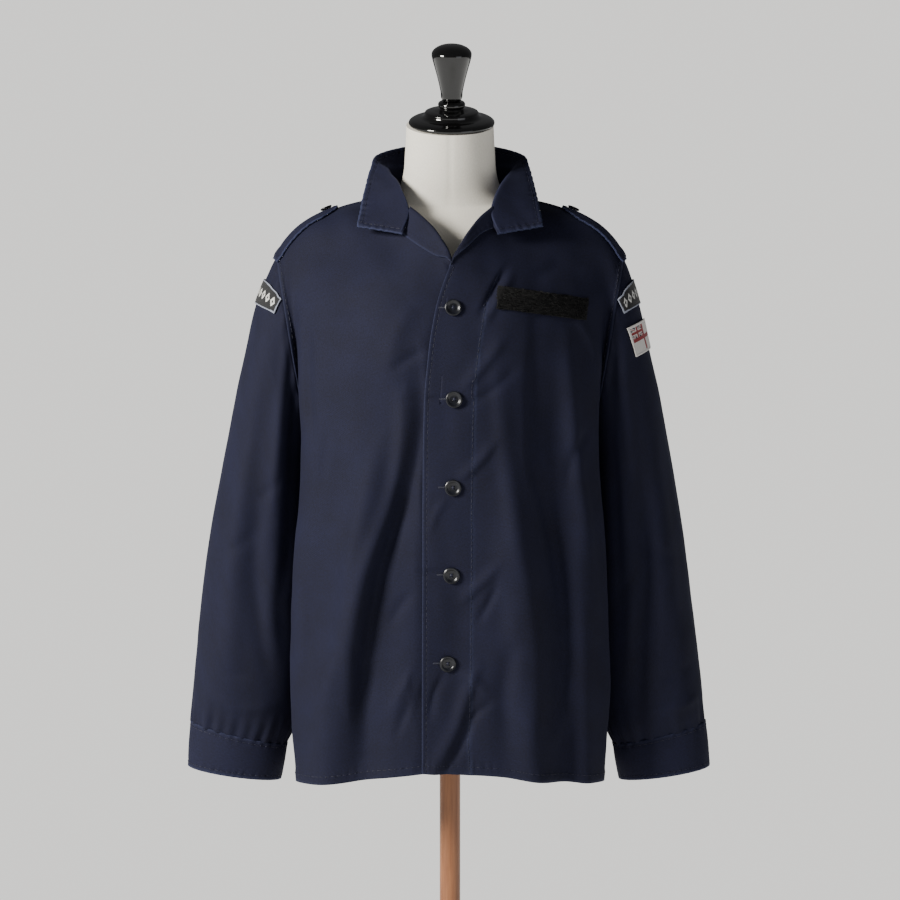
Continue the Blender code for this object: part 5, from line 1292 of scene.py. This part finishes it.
form = {
    # height, half width, front, back, lean of the top
    "rows": (
        (780, 146, -98, 104, 0), (786, 154, -106, 111, 0), (850, 159, -110, 115, 0), (950, 147, -102, 108, 0),
        (1050, 135, -96, 101, 0), (1150, 146, -108, 106, 0), (1230, 158, -119, 109, 0), (1290, 165, -113, 106, 0),
        (1335, 169, -100, 98, 0), (1365, 165, -86, 88, 0), (1388, 154, -72, 76, 0), (1404, 134.5, -59, 65.5, 0),
        (1415, 107, -50, 57, 0), (1424, 78.5, -47.5, 51, 0.05), (1436, 65.5, -49, 46, 0.15),
        (1455, 58.5, -53, 43, 0.5), (1485, 55.5, -59.5, 40, 0.8), (1518.6, 53.8, -64.5, 40.5, 1),
    ),
    "neckTop": (0.002, -0.012, 1.5190), "tilt": radians(15.5), "around": 120, "rowCount": 150,
    "seamDepth": 0.0008, "frontSeamWidth": 0.0022, "neckSeamWidth": 0.0016, "neckSeamHeight": 1.4300,
    "neckSeamSlope": 0.25, "poleRadius": 0.013, "poleEnds": (0.0263, 0.7797),
    # height and radius of each turned ring
    "cap": (
        (0, 50), (0.8, 52.6), (3.8, 53), (6.2, 50.8), (8.5, 44), (11, 35), (13.5, 33.5), (16, 33), (17.8, 29),
        (19.2, 20), (21.2, 15), (23.2, 16.2), (25.6, 16.8), (28, 16), (29.6, 13),
    ),
    "finial": (
        (29.9, 10.5), (32, 12.2), (42, 13.8), (56, 16.8), (70, 20.4), (81, 23.4), (86.8, 24.6), (90.5, 24.3),
        (94.5, 21.2), (97.5, 16.5), (99.7, 9.5), (100.5, 3),
    ),
    "base": (
        (0, 186), (3, 190), (16, 190), (20.5, 188), (23.5, 183), (24.5, 170), (26, 40),
    ),
}
table = np.array(form["rows"]) / (1000, 1000, 1000, 1000, 1)
places = lengths(table[:, :2])
angles = np.linspace(0, 2 * pi, form["around"], endpoint=False)
middleFront = 1.5 * pi
bm = bmesh.new()
for z, wide, ahead, behind, lean in smoothThrough(table, places, np.linspace(0, places[-1], form["rowCount"])):
    centre, depth = (ahead + behind) / 2, (behind - ahead) / 2
    made = bmesh.ops.create_circle(bm, cap_ends=False, segments=form["around"], radius=1.0)["verts"]
    for vert, angle in zip(made, angles):
        y = depth * sin(angle)
        height = z + y * tan(form["tilt"]) * lean
        # faint seams down the front's middle and round the foot of the neck
        seam = bell(height - form["neckSeamHeight"] - form["neckSeamSlope"] * y, form["neckSeamWidth"])
        if abs(angle - middleFront) < 0.3:
            seam += bell((angle - middleFront) * depth, form["frontSeamWidth"])
        shrink = 1 - form["seamDepth"] * seam / max(depth, wide)
        vert.co = (wide * cos(angle) * shrink, centre + y * shrink, height)
bm.edges.ensure_lookup_table()
rings = [bm.edges[start:start + form["around"]] for start in range(0, len(bm.edges), form["around"])]
for lower, upper in zip(rings[:-1], rings[1:]):
    bmesh.ops.bridge_loops(bm, edges=lower + upper)
bmesh.ops.holes_fill(bm, edges=bm.edges, sides=0)
bmesh.ops.recalc_face_normals(bm, faces=bm.faces)
addPiece("form_body", meshOf("form_body", bm), "jersey", ["form_torso"], 60)


def turnedPiece(name, profile, finish, node, origin=(0, 0, 0), axis=(0, 0, 1), steps=64, dense=4):
    # the profile's heights and radii are smoothed, spun about +Z, then tilted onto the axis
    points = np.array(profile)[:, ::-1]
    if dense > 1:
        points = throughPoints(points, np.linspace(0, len(points) - 1, (len(points) - 1) * dense + 1))
    outline = [(0, points[0, 1]), *points, (0, points[-1, 1])]
    bm = bmesh.new()
    verts = [bm.verts.new((radius, 0, height)) for radius, height in outline]
    edges = [bm.edges.new(pair) for pair in zip(verts[:-1], verts[1:])]
    bmesh.ops.spin(bm, geom=verts + edges, cent=(0, 0, 0), axis=(0, 0, 1), angle=2 * pi, steps=steps,
                   use_merge=True)
    bmesh.ops.remove_doubles(bm, verts=bm.verts, dist=1e-6)
    bmesh.ops.recalc_face_normals(bm, faces=bm.faces)
    turn = Vector((0, 0, 1)).rotation_difference(Vector(axis)).to_matrix().to_4x4()
    bmesh.ops.transform(bm, matrix=Matrix.Translation(origin) @ turn, verts=bm.verts)
    addPiece(name, meshOf(name, bm), finish, [node], 35)


neckAxis = (0, -sin(form["tilt"]), cos(form["tilt"]))
for name, key, node in (("neck_cap", "cap", "form_neck_cap"), ("finial_knob", "finial", "form_finial")):
    turnedPiece(name, metres(form[key]), "lacquer", node, form["neckTop"], neckAxis)
turnedPiece("stand_pole", [(end, form["poleRadius"]) for end in form["poleEnds"]], "beech", "form_pole",
            dense=1, steps=48)
turnedPiece("stand_base", metres(form["base"]), "beechFlat", "form_base", steps=96, dense=2)
print("dress form made")

studio = {
    "backdrop": "#C9C8C5", "glow": 1.95, "room": "#F2F3F6", "ambient": 0.11, "floor": "#D2D2CF", "floorRadius": 9.0,
    "key": {"at": (-3.0, -2.1, 2.5), "size": 1.1, "power": 300.0, "colour": "#FFFCF5"},
    "fill": {"at": (2.6, -3.0, 1.4), "size": 2.2, "power": 12.0, "colour": "#F4F6FF"},
    "aim": (0.0, 0.0, 1.15), "cameraAim": (0.0, 0.0, 1.115), "distance": 3.6, "elevation": radians(5),
    "lens": 115.2, "sensor": 36.0,
}
world = bpy.data.worlds.new("studio")
bpy.context.scene.world = world
world.use_nodes = True
tree = world.node_tree
tree.nodes.clear()
# the pale wall is what is seen; the room itself gives less light than that
wall = {"Color": linear(studio["backdrop"]), "Strength": studio["glow"]}
path = addNode(tree, "ShaderNodeLightPath")
seen = addNode(tree, "ShaderNodeBackground", wall)
room = addNode(tree, "ShaderNodeBackground", {"Color": linear(studio["room"]), "Strength": studio["ambient"]})
choice = addNode(tree, "ShaderNodeMixShader", {}, {0: path.outputs["Is Camera Ray"], 1: room.outputs[0],
                                                   2: seen.outputs[0]})
addNode(tree, "ShaderNodeOutputWorld", {}, {"Surface": choice.outputs[0]})

bm = bmesh.new()
bmesh.ops.create_circle(bm, cap_ends=True, segments=96, radius=studio["floorRadius"])
floor = addObject("studio_floor", meshOf("studio_floor", bm))
# pale painted floor that fades into the wall's colour away from the stand
floorFinish, tree, shader = newMaterial("floorPaintPale", 0.7, Base_Color=linear(studio["floor"]))
place = addNode(tree, "ShaderNodeTexCoord")
distance = addNode(tree, "ShaderNodeVectorMath", {"operation": "LENGTH"}, {0: place.outputs["Object"]})
grain = addNode(tree, "ShaderNodeTexNoise", {"Scale": 60.0, "Detail": 4.0}, {"Vector": place.outputs["Object"]})
bump = addNode(tree, "ShaderNodeBump", {"Strength": 0.05, "Distance": 0.001}, {"Height": grain.outputs["Fac"]})
tree.links.new(bump.outputs["Normal"], shader.inputs["Normal"])
away = addNode(tree, "ShaderNodeMapRange", {"From Min": 0.3, "From Max": 1.3, "interpolation_type": "SMOOTHSTEP"},
               {"Value": distance.outputs["Value"]})
glow = addNode(tree, "ShaderNodeEmission", wall)
mixed = addNode(tree, "ShaderNodeMixShader", {}, {0: away.outputs["Result"], 1: shader.outputs[0],
                                                  2: glow.outputs[0]})
tree.links.new(mixed.outputs[0], tree.nodes["Material Output"].inputs["Surface"])
floor.data.materials.append(floorFinish)

for name in ("key", "fill"):
    lamp = bpy.data.lights.new(name, "AREA")
    lamp.energy, lamp.size = studio[name]["power"], studio[name]["size"]
    lamp.color = linear(studio[name]["colour"])[:3]
    made = addObject(name, lamp)
    made.location = studio[name]["at"]
    made.rotation_euler = (Vector(studio["aim"]) - made.location).to_track_quat("-Z", "Y").to_euler()

lens = bpy.data.cameras.new("camera")
lens.lens, lens.sensor_width, lens.sensor_fit = studio["lens"], studio["sensor"], "HORIZONTAL"
camera = addObject("camera", lens)
aim = Vector(studio["cameraAim"])
camera.location = aim + Vector((0, -cos(studio["elevation"]), sin(studio["elevation"]))) * studio["distance"]
camera.rotation_euler = (aim - camera.location).to_track_quat("-Z", "Y").to_euler()
bpy.context.scene.camera = camera
print("studio ready")
